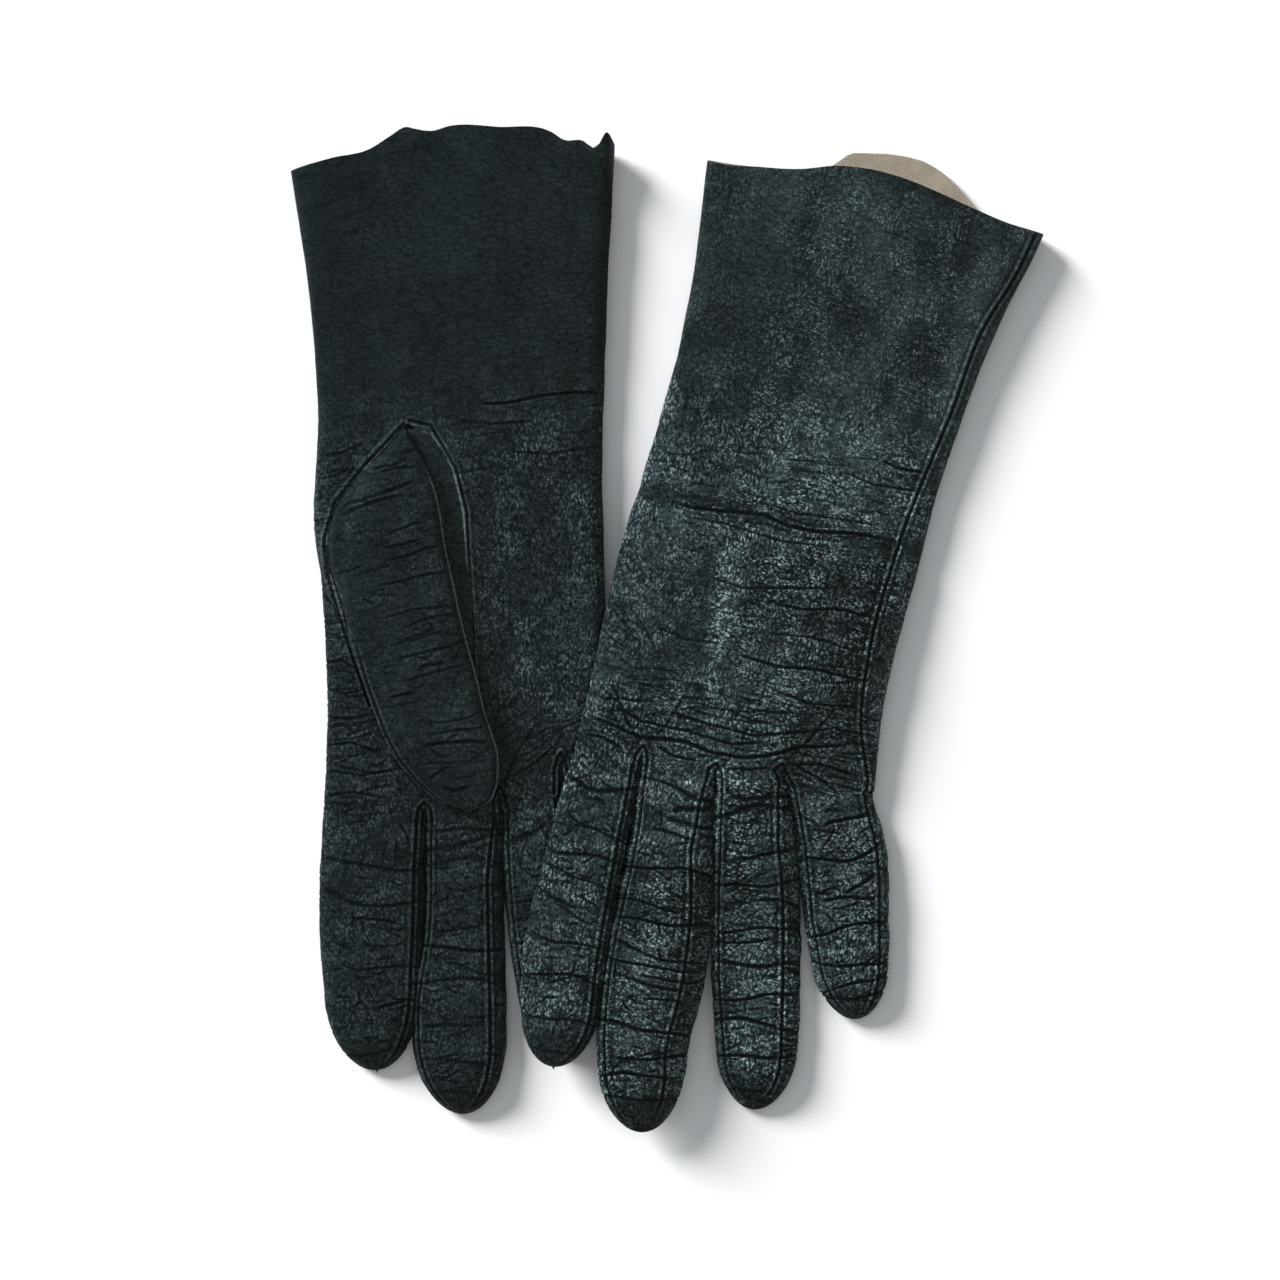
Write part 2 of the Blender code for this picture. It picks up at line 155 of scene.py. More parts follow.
RIGHT = SimpleNamespace(
    name="right",
    origin=(-62.1, -50.6),
    turn=0.0,
    palm_up=True,
    thumb_side=curve_through(
        (-7, -42), (0, -41.7), (18, -40.8), (60, -42), (84, -44.4), (114, -43.5), (150, -45.9),
        (172, -49), (202, -53.5),
    ),
    little_side=curve_through(
        (8, 45.5), (40, 44), (69, 42.6), (90, 42), (120, 42.6), (150, 43.5), (186, 45.3), (202, 46),
    ),
    rim_top=curve_through(
        (-52, 188.4), (-39, 192), (-27, 195), (-21.5, 198.6), (-17, 201.3), (-13, 200.4), (-9, 200.2),
        (-4, 201.6), (11, 201.3), (27, 199.8), (30.5, 197.6), (36, 197.4), (40.5, 195.2),
        (43.5, 199.6), (46, 196),
    ),
    rim_bottom=curve_through((-52, 188.4), (-20, 194), (10, 196.5), (30, 194), (46, 196)),
    knuckles=((-42, -6.5), (-11.3, -6.5), (12, -6.5), (30, 1.6), (45.5, 8.5)),
    fingers=(
        dict(
            name="index",
            middle=((-26.6, -6.5), (-27.4, -36), (-27.0, -60), (-26.2, -81.9)),
            width=((0, 15.3), (0.4, 15.7), (0.7, 14.4), (1, 13)),
            seams=(0, 3.0),
        ),
        dict(
            name="middle",
            middle=((0.3, -6.5), (0.4, -40), (-1.0, -65), (0.4, -95.1)),
            width=((0, 11.6), (0.38, 12.2), (0.65, 14.1), (1, 12.8)),
            seams=(2.0, 4.6),
        ),
        dict(
            name="ring",
            middle=((21, -2.5), (24.5, -36), (31, -77)),
            width=((0, 9.8), (0.45, 11), (1, 11)),
            seams=(2.0, 3.0),
        ),
        dict(
            name="little",
            middle=((37.7, 5), (43.5, -20), (52, -53)),
            width=((0, 8.5), (0.45, 9.2), (1, 9)),
            seams=(2.0, 0),
        ),
    ),
)
LEFT = SimpleNamespace(
    name="left",
    origin=(15.6, -47.6),
    turn=-13.0,
    palm_up=False,
    thumb_side=curve_through(
        (-4, -45.8), (20, -45.3), (45, -46.1), (66, -45.8), (91, -43.6), (116, -42.3), (141, -42.4),
        (171, -45.1), (200, -48),
    ),
    little_side=curve_through(
        (10, 45.2), (31, 42.2), (55, 41.9), (80, 43.2), (105, 43.8), (131, 46.5), (156, 50.4),
        (176, 55.4), (190, 58.2),
    ),
    rim_top=curve_through(
        (-47, 183.2), (-43, 182.6), (-31, 184.2), (-19, 186.2), (-8, 189.6), (1, 190.6), (12, 190.2),
        (23, 188.6), (36, 186.2), (46, 184.6), (58, 184),
    ),
    rim_bottom=curve_through(
        (-47, 183.2), (-20, 187), (-9, 190.5), (-6, 194.2), (1, 196.6), (9, 197.9), (18, 197.6),
        (27, 194), (36, 187.5), (58, 184),
    ),
    knuckles=((-45.8, -4), (-25.2, -0.8), (-2.6, 2.8), (18.6, 6.1), (44.8, 9.6)),
    fingers=(
        dict(
            name="index",
            middle=((-35.5, -2.4), (-35.3, -32), (-34.6, -57), (-31.8, -78), (-30.6, -92.2)),
            width=((0, 10.5), (0.33, 11.8), (0.6, 12.4), (0.85, 11.8), (1, 11.5)),
            seams=(0, 2.6),
        ),
        dict(
            name="middle",
            middle=((-14, 1), (-10.8, -20), (-8.6, -38), (-7.2, -57), (-5.6, -80), (0.4, -105.5)),
            width=((0, 11.3), (0.2, 12.6), (0.38, 14.6), (0.56, 15.3), (0.78, 13.4), (1, 12.0)),
            seams=(2.2, 6.6),
        ),
        dict(
            name="ring",
            middle=((8, 4.5), (16.9, -27), (23.8, -56), (28, -73), (31.6, -92)),
            width=((0, 10.7), (0.33, 13.1), (0.62, 13.2), (0.8, 12.3), (1, 11.0)),
            seams=(2.2, 5.2),
        ),
        dict(
            name="little",
            middle=((30.8, 8), (39.6, -10), (45.8, -30), (49.8, -42), (55.8, -58.4)),
            width=((0, 11.6), (0.28, 13.2), (0.6, 12.4), (0.8, 11.2), (1, 10.2)),
            seams=(2.4, 0),
            side=2.9,
        ),
    ),
)
GLOVES = (RIGHT, LEFT)

THUMB_AXIS = ((-18.5, 110.0), (-41.0, 45.0))
THUMB_TOP = 111.0
THUMB_TIP = -3.6
# The thumb's outer skin runs out to the seam round the thumb hole above v = 60.
THUMB_LEFT = curve_through(
    (-3.6, 1.5), (-1.5, -5), (3, -12), (9, -17.6), (30, -28), (48, -33.4), (60, -36), (69, -39.2),
    (78, -39.9), (88.5, -37), (99, -28.4), (111, -16.8),
)
THUMB_RIGHT = curve_through(
    (-3.6, 1.5), (-1.5, 7), (3, 10.4), (9, 11.2), (30, 6.4), (63, -1.9), (76, -4.4), (90, -7.1),
    (98, -9.7), (104, -12.4), (111, -16.6),
)
HOLE_RIGHT = curve_through(
    (20, -6), (33, 1), (48, 3.0), (72, 1.6), (90, -0.6), (99, -3.0), (107, -7.5), (112.5, -16.5),
)
HOLE_LEFT = curve_through(
    (20, -10), (33, -24), (48, -34), (60, -36.5), (69, -39.8), (78, -40.4), (88.5, -37.6), (99, -29.0),
    (112.5, -16.9),
)


def lift(glove, u, v):
    """How far the left glove lies above the surface, over the right one and over its own thumb."""
    if glove is RIGHT:
        return np.zeros(np.broadcast(u, v).shape)
    over_fingers = 1 - smooth_step(u, -11, 22)
    over_thumb = 1 - smooth_step(u, 9, 46)
    share = smooth_step(v, -44, -4)
    across = over_fingers * (1 - share) + over_thumb * share
    return LEFT_LIFT * across * (1 - smooth_step(v, 50, 122))


def world(glove, points):
    """Points (u, v, z) of the glove's frame in the world's metres."""
    turn = math.radians(glove.turn)
    x, y = glove.origin
    u, v, z = np.moveaxis(points, -1, 0)
    return np.stack(
        [x + u * math.cos(turn) - v * math.sin(turn), y + u * math.sin(turn) + v * math.cos(turn), z], -1
    ) * MM


def turned(glove, directions):
    """Directions of the glove's frame in the world."""
    turn = math.radians(glove.turn)
    u, v, z = np.moveaxis(directions, -1, 0)
    cos, sin = math.cos(turn), math.sin(turn)
    return np.stack([u * cos - v * sin, u * sin + v * cos, z], -1)


# ---------------------------------------------------------------- relief


def polyline_distance(u, v, points):
    """Distance from each (u, v) to a polyline, and how far along it the nearest spot is, from 0 to 1."""
    best = np.full(u.shape, 1e9)
    share = np.zeros(u.shape)
    count = len(points) - 1
    for k in range(count):
        (au, av), (bu, bv) = points[k], points[k + 1]
        du, dv = bu - au, bv - av
        t = np.clip(((u - au) * du + (v - av) * dv) / (du * du + dv * dv + 1e-9), 0, 1)
        distance = np.hypot(u - au - t * du, v - av - t * dv)
        nearer = distance < best
        best = np.where(nearer, distance, best)
        share = np.where(nearer, (k + t) / count, share)
    return best, share


def add_crease(height, dark, u, v, points, depth, width, lip=0.45, taper=0.12):
    """Presses one crease into height: a groove with raised lips, fading out at its ends."""
    points = np.array(points, float)
    reach = 4.5 * width
    low, high = points.min(0) - reach, points.max(0) + reach
    near = (u > low[0]) & (u < high[0]) & (v > low[1]) & (v < high[1])
    if not near.any():
        return
    distance, share = polyline_distance(u[near], v[near], points)
    ends = smooth_step(share, 0, taper) * (1 - smooth_step(share, 1 - taper, 1)) if taper else 1.0
    groove = np.exp(-((distance / width) ** 2))
    lips = lip * np.exp(-(((distance - 2.1 * width) / (1.1 * width)) ** 2))
    valley = np.exp(-((distance / (2.1 * width)) ** 2))
    height[near] += depth * ends * (lips - groove - 0.3 * valley)
    # The crease's painted shade: darkest in its groove, fainter across the valley round it.
    shade = np.maximum(groove, 0.42 * valley)
    dark[near] = np.maximum(dark[near], shade * ends * min(1.0, depth / 0.28))


def wander(start, end, bend, random, steps=7, jitter=0.25):
    """A slightly crooked line from start to end that bulges sideways by bend."""
    start, end = np.array(start, float), np.array(end, float)
    t = np.linspace(0, 1, steps)[:, None]
    line = start + (end - start) * t
    across = np.array([-(end - start)[1], (end - start)[0]])
    across /= np.linalg.norm(across) + 1e-9
    line += across * (4 * t * (1 - t) * bend)
    line[1:-1] += random.normal(0, jitter, (steps - 2, 2))
    return line


def short_crease(surface, middle, angle, random, kind, strength=1.0):
    """Presses a short crooked crease through middle into surface, a (height, dark, u, v)."""
    half = random.uniform(*kind.reach) * np.array([math.cos(angle), math.sin(angle)])
    bend = random.normal(0, kind.bend)
    line = wander(middle - half, middle + half, bend, random, steps=5, jitter=kind.jitter)
    depth, width = random.uniform(*kind.depth) * strength, random.uniform(*kind.width)
    add_crease(*surface, line, depth, width, taper=0.3)


# Ranges that the short creases' reach, depth and width are drawn from.
HAND_CREASES = SimpleNamespace(reach=(2.5, 9), bend=0.6, jitter=0.15, depth=(0.3, 1), width=(0.22, 0.36))
FINGER_CREASES = SimpleNamespace(
    reach=(1.2, 5), bend=0.4, jitter=0.12, depth=(0.06, 0.24), width=(0.2, 0.32)
)
THUMB_CREASES = SimpleNamespace(
    reach=(1.5, 5), bend=0.4, jitter=0.12, depth=(0.05, 0.16), width=(0.3, 0.45)
)

# Creases seen on each glove's upper face: points, depth and width.
UPPER_CREASES = {
    "left": (
        (
            ((-37, 80.6), (-27, 80.2), (-18, 81.2), (-6, 82.8), (2, 81.2), (10, 81.4), (22, 83.6),
             (36, 84.2)),
            0.75, 0.62,
        ),
        (((-30, 77.0), (-16, 77.6), (0, 76.4), (14, 77.8)), 0.30, 0.5),
        (((-12, 86.4), (4, 85.6), (20, 87.2), (30, 87.4)), 0.30, 0.5),
        (((25, 106.8), (31, 105.6), (39, 106.2)), 0.50, 0.55),
        (((14, 101.0), (24, 99.2), (37, 100.2)), 0.30, 0.5),
        (((2, 57.7), (12, 58.0), (22, 60.4), (33.8, 60.4)), 0.55, 0.55),
        (((-20, 61.5), (-8, 60.0), (6, 63.0), (20, 66.5)), 0.26, 0.5),
        (((-5, 40.6), (8, 39.6), (20, 41.4), (35, 41.0)), 0.50, 0.55),
        (((-30, 43.0), (-20, 41.4), (-10, 42.4)), 0.25, 0.5),
        (((4, 48.8), (16, 50.4), (30, 49.4)), 0.28, 0.5),
        (((8, 32.6), (20, 31.0), (36, 33.4)), 0.34, 0.5),
        (
            ((-45, 12.6), (-36, 11.6), (-27, 9.8), (-14, 11.6), (-5, 10.2), (4, 10.8), (12, 13.4),
             (20, 17.8), (26, 19.2), (38, 22.6)),
            0.85, 0.68,
        ),
        (((-40, 18.4), (-28, 14.6), (-14, 14.8), (0, 14.0), (12, 17.6)), 0.40, 0.55),
        (((-24, 19.6), (-10, 18.4), (6, 18.0), (20, 22.4), (34, 27.4)), 0.36, 0.55),
        (((-44, 7.0), (-38, 7.4), (-31, 5.4)), 0.42, 0.55),
        (((-22, 8.6), (-16, 6.6), (-9, 6.8)), 0.40, 0.5),
        (((0, 6.8), (7, 7.8), (12, 9.6)), 0.40, 0.5),
        (((19, 12.0), (27, 14.0), (38, 13.2)), 0.42, 0.55),
        (((18, 12.6), (28, 9.8), (41, 3.2)), 0.40, 0.55),
        (((-27, 8.2), (-33, 15.0), (-39, 24.0)), 0.30, 0.6),
        (((-24, 8.6), (-20, 16.0), (-17, 25.0)), 0.24, 0.6),
        (((-2, 5.6), (2, 13.0), (4, 22.0)), 0.22, 0.6),
        (((16.5, 12.5), (22, 20.0), (27, 30.0)), 0.28, 0.6),
    ),
    "right": (
        (((4, 118.4), (14, 118.8), (24, 121.0), (34, 122.0), (43, 121.8)), 0.62, 0.5),
        (((-2, 113.6), (10, 112.6), (22, 113.4)), 0.26, 0.5),
        (((14, 104.4), (26, 103.4), (41, 105.8)), 0.26, 0.5),
        (((-42, 103.0), (-36, 103.8), (-29, 107.0)), 0.30, 0.5),
        (((-43, 96.0), (-38, 97.0), (-33, 99.6)), 0.24, 0.5),
        (((-42, 62.0), (-38.5, 58.0), (-36.5, 52.0)), 0.34, 0.5),
        (((-41, 50.0), (-37, 49.0), (-34, 46.0)), 0.26, 0.5),
        (((-41, 40.6), (-36, 41.6), (-31.5, 38.8)), 0.40, 0.5),
        (((-41, 33.0), (-35, 31.6), (-29, 32.8)), 0.30, 0.5),
        (((-41, 24.6), (-34, 24.0), (-27, 25.2)), 0.36, 0.5),
        (((-41, 16.0), (-33, 17.0), (-24, 13.6)), 0.36, 0.5),
        (((-41.5, 8.6), (-30, 7.2), (-19, 8.8)), 0.34, 0.5),
        (((-42, 1.0), (-32, 2.0), (-22, 0.2)), 0.32, 0.5),
        (((14, 6.6), (22, 10.6), (30, 18.0)), 0.24, 0.6),
        (((12, 3.4), (16, 13.0), (22, 22.0)), 0.22, 0.6),
    ),
}
# Places where fine creases gather: centre, half-lengths along u and v, how many, their slant in degrees
# and their deepest depth.
CREASE_FIELDS = {
    "left": (
        ((0, 20), (42, 12), 150, 2, 0.20),
        ((6, 55), (36, 40), 120, 4, 0.13),
        ((0, 92), (40, 14), 70, 3, 0.15),
        ((30, 40), (9, 34), 70, 0, 0.16),
        ((0, 145), (42, 34), 26, -18, 0.10),
        ((-36, 20), (10, 24), 50, -28, 0.16),
        ((0, 40), (36, 36), 60, 86, 0.07),
    ),
    "right": (
        ((-33, 22), (8, 34), 90, 4, 0.20),
        ((-36, 78), (7, 26), 44, 12, 0.18),
        ((22, 70), (22, 50), 60, 88, 0.07),
        ((20, 108), (22, 12), 36, 2, 0.12),
        ((26, 14), (16, 16), 44, 30, 0.14),
        ((0, 160), (40, 30), 12, 20, 0.06),
    ),
}


def hand_relief(glove, u, v, upper):
    """(height, dark) of the fine relief on a hand's or cuff's leather."""
    seed = 3 if glove is LEFT else 5
    if not upper:
        seed += 20
    worked = 1 - 0.75 * smooth_step(v, 112, 140)
    height = 0.13 * worked * noise(u / 4.6, v / 3.4, seed + 2)
    height += 0.05 * worked * ridged(u / 7.5, v / 4.2, seed + 3)
    dark = np.zeros(u.shape)
    random = np.random.default_rng(seed)
    if upper:
        for points, depth, width in UPPER_CREASES[glove.name]:
            add_crease(height, dark, u, v, points, 0.8 * depth, 0.62 * width)
        fields = CREASE_FIELDS[glove.name]
    else:
        fields = CREASE_FIELDS["left"][:3]
    for (cu, cv), (ru, rv), count, slant, deepest in fields:
        for _ in range(count):
            middle = np.array([cu + random.uniform(-ru, ru), cv + random.uniform(-rv, rv)])
            angle = math.radians(slant + random.normal(0, 9))
            short_crease((height, dark, u, v), middle, angle, random, HAND_CREASES, deepest)
    return height, dark


def fold_lines(random, length, spacing, x):
    """A row for each of a finger's cross folds: where it runs at each place x across, from -1 to 1."""
    folds = []
    where = random.uniform(-2, 1)
    while where < length + spacing:
        slant, bow = random.normal(0, 1.5), random.normal(0, 1.3)
        wobble = random.uniform(0, 6.28)
        folds.append(where + slant * x + bow * (1 - x * x) + 0.5 * np.sin(4 * x + wobble))
        where += spacing * random.uniform(0.4, 1.8)
    return np.array(folds)


def pillows(along, folds):
    """Soft bulges, 0 to 1 high, between one fold and the next."""
    bulge = np.zeros(along.shape)
    for low, high in zip(folds[:-1], folds[1:]):
        gap = np.maximum(high - low, 0.8)
        share = (along - low) / gap
        inside = (share >= 0) & (share <= 1)
        arch = np.sqrt(np.clip(4 * share * (1 - share), 0, 1)) * np.minimum(gap / 6, 1.2)
        bulge = np.where(inside, arch, bulge)
    return bulge


def finger_relief(glove, index, across, along, length, half, upper):
    """(low, height, dark) of a finger: across is from -1 to 1, along in millimetres from its base."""
    seed = 100 + 10 * index + (1 if glove is LEFT else 0) + (0 if upper else 50)
    random = np.random.default_rng(seed)
    x = across * half
    strong = glove is LEFT and index > 0
    depth, spacing = (0.50, 6.0) if strong else (0.30, 7.0)
    folds = fold_lines(random, length, spacing, across[0])
    uneven = 0.7 + 0.9 * noise(x / 7, along / 7, 91 + index)
    low = (0.40 if strong else 0.20) * uneven * pillows(along, folds[:, None, :] + 0 * along[None])
    height = 0.08 * noise(x / 3.6, along / 2.6, 41 + index)
    dark = np.zeros(x.shape)
    columns = np.linspace(-0.96, 0.96, 9)
    one_face = slice(0, np.argmax(across[0]) + 1)
    for fold in folds:
        reach = 1.0 if random.random() < 0.65 else random.uniform(0.4, 0.8)
        shift = random.uniform(-1, 1) * (1 - reach)
        where = np.clip(columns * reach + shift, -1, 1)
        crossing = np.interp(where, across[0, one_face], fold[one_face])
        line = np.stack([where * half.max(), crossing], -1)
        line[:, 1] += random.normal(0, 0.12, 9)
        deep, wide = depth * random.uniform(0.6, 1.1), random.uniform(0.26, 0.42)
        add_crease(height, dark, x, along, line, deep, wide, 0.5, 0.1)
    for _ in range(int(length * (2.4 if strong else 1.7))):
        middle = np.array([random.uniform(-0.98, 0.98) * half.max(), random.uniform(0, length)])
        angle = random.normal(0, 0.30) if random.random() < 0.75 else random.uniform(0, math.pi)
        short_crease((height, dark, x, along), middle, angle, random, FINGER_CREASES)
    return low, height, dark


def thumb_relief(u, v):
    """(height, dark) of the thumb's slanting creases."""
    random = np.random.default_rng(77)
    height = 0.09 * noise(u / 4, v / 3, 62)
    dark = np.zeros(u.shape)
    where = 4.0
    while where < 106:
        left, right = float(THUMB_LEFT(where)), float(THUMB_RIGHT(where))
        tilt = 13 * smooth_step(where, 5, 40) * random.uniform(0.5, 1.2)
        near = left + (right - left) * random.uniform(0.0, 0.5)
        far = min(near + (right - left) * random.uniform(0.25, 0.9), right - 0.5)
        start, end = (near, where), (far, where + tilt * (far - near) / 40)
        line = wander(start, end, random.normal(0, 0.8), random, jitter=0.22)
        deep, wide = random.uniform(0.10, 0.28), random.uniform(0.26, 0.42)
        add_crease(height, dark, u, v, line, deep, wide, taper=0.25)
        where += random.uniform(1.8, 5.0)
    for _ in range(90):
        middle = np.array([random.uniform(-38, 8), random.uniform(0, 104)])
        angle = random.normal(0.2, 0.5)
        short_crease((height, dark, u, v), middle, angle, random, THUMB_CREASES)
    return height, dark


# ---------------------------------------------------------------- tube sections


def half_section(share, width, half_height, crown):
    """The upper half of a flattened tube, at shares of its length from the left edge to the right one.

    Returns x across, z above the middle and the outward normal's two parts.
    """
    round_x = np.minimum(ROUND * half_height, 0.5 * width)
    quarter = math.pi / 2 * np.sqrt((round_x**2 + half_height**2) / 2) + 1e-9
    flat = np.maximum(width - 2 * round_x, 0)
    total = 2 * quarter + flat
    s = share * total
    left = np.clip(s / quarter, 0, 1) * math.pi / 2
    right = np.clip((total - s) / quarter, 0, 1) * math.pi / 2
    x = round_x * (1 - np.cos(left)) + np.clip(s - quarter, 0, flat) + round_x * np.cos(right)
    up = np.minimum(np.sin(left), np.sin(right))
    side = np.cos(right) - np.cos(left)
    z = half_height * up + crown * up * (1 - (2 * x / np.maximum(width, 1e-6) - 1) ** 2)
    return x, z, side, up


def share_at(inset, width, half_height):
    """The half section's share at a distance in from its left edge."""
    round_x = np.minimum(ROUND * half_height, 0.5 * width)
    quarter = math.pi / 2 * np.sqrt((round_x**2 + half_height**2) / 2) + 1e-9
    total = 2 * quarter + np.maximum(width - 2 * round_x, 0)
    angle = np.arccos(np.clip(1 - inset / np.maximum(round_x, 1e-6), -1, 1))
    s = np.where(inset < round_x, quarter * angle / (math.pi / 2), quarter + inset - round_x)
    return np.clip(s / total, 0, 0.5)


def runs(*pieces):
    """Shares joined from (start, end, steps) pieces, each start and end an array with one value a row."""
    made = [pieces[0][0][:, None]]
    for start, end, steps in pieces:
        if steps:
            t = np.linspace(0, 1, steps + 1)[1:]
            made.append(start[:, None] + (end - start)[:, None] * t)
    return np.concatenate(made, 1)


FINE, UNDER = 0.33, 1.4  # spacing of columns on the upper and the lower face
THUMB_UNDER = 1.2  # spacing of columns on the thumb's lower face
SPREAD = 1
HOLE_LOW, HOLE_HIGH = 20.0, 112.5
CROTCHES = {
    "left": ((-25.4, 7.4), (-3.1, 7.0), (15.9, 11.4)),
    "right": ((-11.3, -1.5), (11.2, 3.5), (29.7, 13.5)),
}
SIDE_SEAM = curve_through(
    (10, 2.6), (15, 3.8), (26, 5.9), (46, 7.6), (60, 8.2), (86, 7.6), (106, 5.2), (122, 4.0), (158, 4.0),
    (174, 2.6), (190, 2.6),
)


def limited(height):
    """Relief whose deepest spots stay inside the hide."""
    return np.where(height < 0, -0.6 * np.tanh(-height / 0.6), height)


def smooth_normals(points, outward, closed):
    """A grid's unit normals and 1 or -1: whether rows crossed with columns point outward."""
    down = np.gradient(points, axis=0)
    if closed:
        around = np.roll(points, -1, 1) - np.roll(points, 1, 1)
    else:
        around = np.gradient(points, axis=1)
    normals = np.cross(down, around)
    size = np.linalg.norm(normals, axis=-1, keepdims=True)
    sign = 1 if (normals * outward).sum() > 0 else -1
    return np.where(size > 1e-5, sign * normals / np.maximum(size, 1e-9), outward), sign


def crests(height, reach):
    """How far each point stands above its surroundings, reach rows and columns away."""
    mean = height
    for axis in (0, 1, 0, 1):
        mean = np.mean([np.roll(mean, shift, axis) for shift in range(-reach, reach + 1, 2)], axis=0)
    return height - mean


def finished(glove, points, outward, low, fine, dark, gloss, closed=True):
    """A grid ready to be cut into panels: the smooth shape, its normals and the fine relief on it."""
    normals, _ = smooth_normals(points, outward, closed)
    rest = points.copy()
    points = points + normals * low[..., None]
    points[..., 2] = np.maximum(points[..., 2], 0.65)
    points[..., 2] += lift(glove, points[..., 0], points[..., 1])
    normals, sign = smooth_normals(points, outward, closed)
    fine = limited(fine)
    shading, _ = smooth_normals(points + normals * fine[..., None], outward, closed)
    return SimpleNamespace(
        glove=glove, points=points, normals=normals, shading=shading, sign=sign, rest=rest, fine=fine,
        dark=dark, gloss=gloss, sunk=np.zeros(fine.shape), crest=crests(low + fine, max(8 // SPREAD, 2)),
        grain=1 - (0.88 if glove is RIGHT else 0.72) * smooth_step(rest[..., 1], 96, 132),
        flow=0.75 + 0 * rest[..., 0] if glove is RIGHT else 0.6 * smooth_step(rest[..., 0], -18, -34),
    )


def seam_groove(distance, strength=1.0):
    """(height, dark) of a seam between two rolled edges; dark is the painted shade in its groove."""
    groove = np.exp(-((distance / 0.34) ** 2))
    roll = np.exp(-(((distance - 0.85) / 0.42) ** 2))
    pull = np.exp(-(((distance - 1.9) / 0.5) ** 2))
    return strength * (0.30 * roll - 0.62 * groove - 0.16 * pull), groove * min(1, strength)


# ---------------------------------------------------------------- fingers


def finger_frame(glove, index, t):
    """The left and right edges of a finger at shares t of its length."""
    finger = glove.fingers[index]
    centre, ahead = path_through(finger["middle"], t)
    across = np.stack([-ahead[:, 1], ahead[:, 0]], -1)
    length = finger_length(glove, index)
    half = curve_through(*finger["width"])(t)
    tip = straight_step(t, 1 - 1.75 * half[-1] / length, 1)
    half = half * (1 - tip**2.15) ** (1 / 1.95)
    near, far = np.array(glove.knuckles[index]), np.array(glove.knuckles[index + 1])
    gap = 0.25 * (far - near) / np.linalg.norm(far - near)
    reach = smooth_step(t, 0, 0.16)[:, None]
    left = (near + gap * (index > 0)) * (1 - reach) + (centre - across * half[:, None]) * reach
    right = (far - gap * (index < 3)) * (1 - reach) + (centre + across * half[:, None]) * reach
    return left, right, half


def finger_length(glove, index):
    spine, _ = path_through(glove.fingers[index]["middle"], np.linspace(0, 1, 200))
    return np.linalg.norm(np.diff(spine, axis=0), axis=1).sum()


def finger_shares(glove, index, t, width, half_height):
    """Column shares of the upper and lower faces, and the columns of the seams on each."""
    finger = glove.fingers[index]
    fade = smooth_step(t, 0.0, 0.22) * (1 - 0.45 * smooth_step(t, 0.75, 1))
    side = finger.get("side", 0)
    faces = []
    for upper, spacing in ((True, FINE), (False, UNDER)):
        firsts, counts = [], []
        for k, inset in enumerate(finger["seams"]):
            if upper and k == 1 and side:
                inset = side
            if not inset:
                firsts.append(0 * t)
                counts.append(0)
                continue
            inset = inset if upper else min(inset, 1.8)
            from_edge = np.minimum(2.0 + (inset - 2.0) * fade, width * 0.3)
            firsts.append(share_at(from_edge, width, half_height))
            counts.append(max(int((inset + 1.5) / spacing / SPREAD), 2))
        main = int(width.max() / spacing / SPREAD)
        left, right = firsts[0], 1 - firsts[1]
        shares = runs((0 * t, left, counts[0]), (left, right, main), (right, 0 * t + 1, counts[1]))
        faces.append((shares, counts[0], counts[0] + main, counts[0] + main + counts[1]))
    return faces


def ring(left, right, mid, half_height, crown, faces):
    """A flattened tube's points, outward normals and positions across, from -1 to 1, once round."""
    width = np.linalg.norm(right - left, axis=1)
    direction = (right - left) / np.maximum(width, 1e-6)[:, None]
    halves = []
    for (shares, *_), sign in zip(faces, (1, -1)):
        bulge = crown[:, None] if sign > 0 else 0
        x, z, side, up = half_section(shares, width[:, None], half_height[:, None], bulge)
        flat = left[:, None, :] + direction[:, None, :] * x[..., None]
        points = np.concatenate([flat, (mid[:, None] + sign * z)[..., None]], -1)
        outward = np.concatenate([direction[:, None, :] * side[..., None], (sign * up)[..., None]], -1)
        across = 2 * x / np.maximum(width, 1e-6)[:, None] - 1
        halves.append((points, outward, across))
    top, bottom = halves
    return [np.concatenate([a, b[:, -2:0:-1]], 1) for a, b in zip(top, bottom)]


def seam_columns(faces):
    """Where the seams are in the columns once round: upper left, upper right, lower right, lower left."""
    (_, upper_left, upper_right, upper_last), (_, lower_left, lower_right, lower_last) = faces
    around = upper_last + lower_last
    return upper_left, upper_right, around - lower_right, around - lower_left


def add_column_seams(points, columns, height, dark, fade):
    """A groove along each of the given columns of a grid, with painted shade in it."""
    steps = np.linalg.norm(np.roll(points, -1, 1) - points, axis=-1)
    along = np.concatenate([np.zeros((len(points), 1)), np.cumsum(steps, 1)], 1)
    total, along = along[:, -1:], along[:, :-1]
    for column in columns:
        distance = np.abs(along - along[:, [column % points.shape[1]]])
        distance = np.minimum(distance, total - distance)
        groove, line = seam_groove(distance)
        height += groove * fade[:, None]
        dark[:] = np.maximum(dark, line * fade[:, None])


def tuck_under(tube):
    """Turns a tube's first two rows into a lip that runs under the edge of the tube it is joined to."""
    tube.normals[:2] = tube.normals[3]
    tube.shading[:3] = tube.shading[3]
    tube.fine[:2] = tube.fine[2]
    back = tube.points[2] - tube.points[5]
    back /= np.linalg.norm(back, axis=-1, keepdims=True)
    for row, (run, sink) in enumerate(((1.5, 1.5), (0.5, 0.4))):
        tube.points[row] = tube.points[2] + run * back - sink * tube.normals[3]


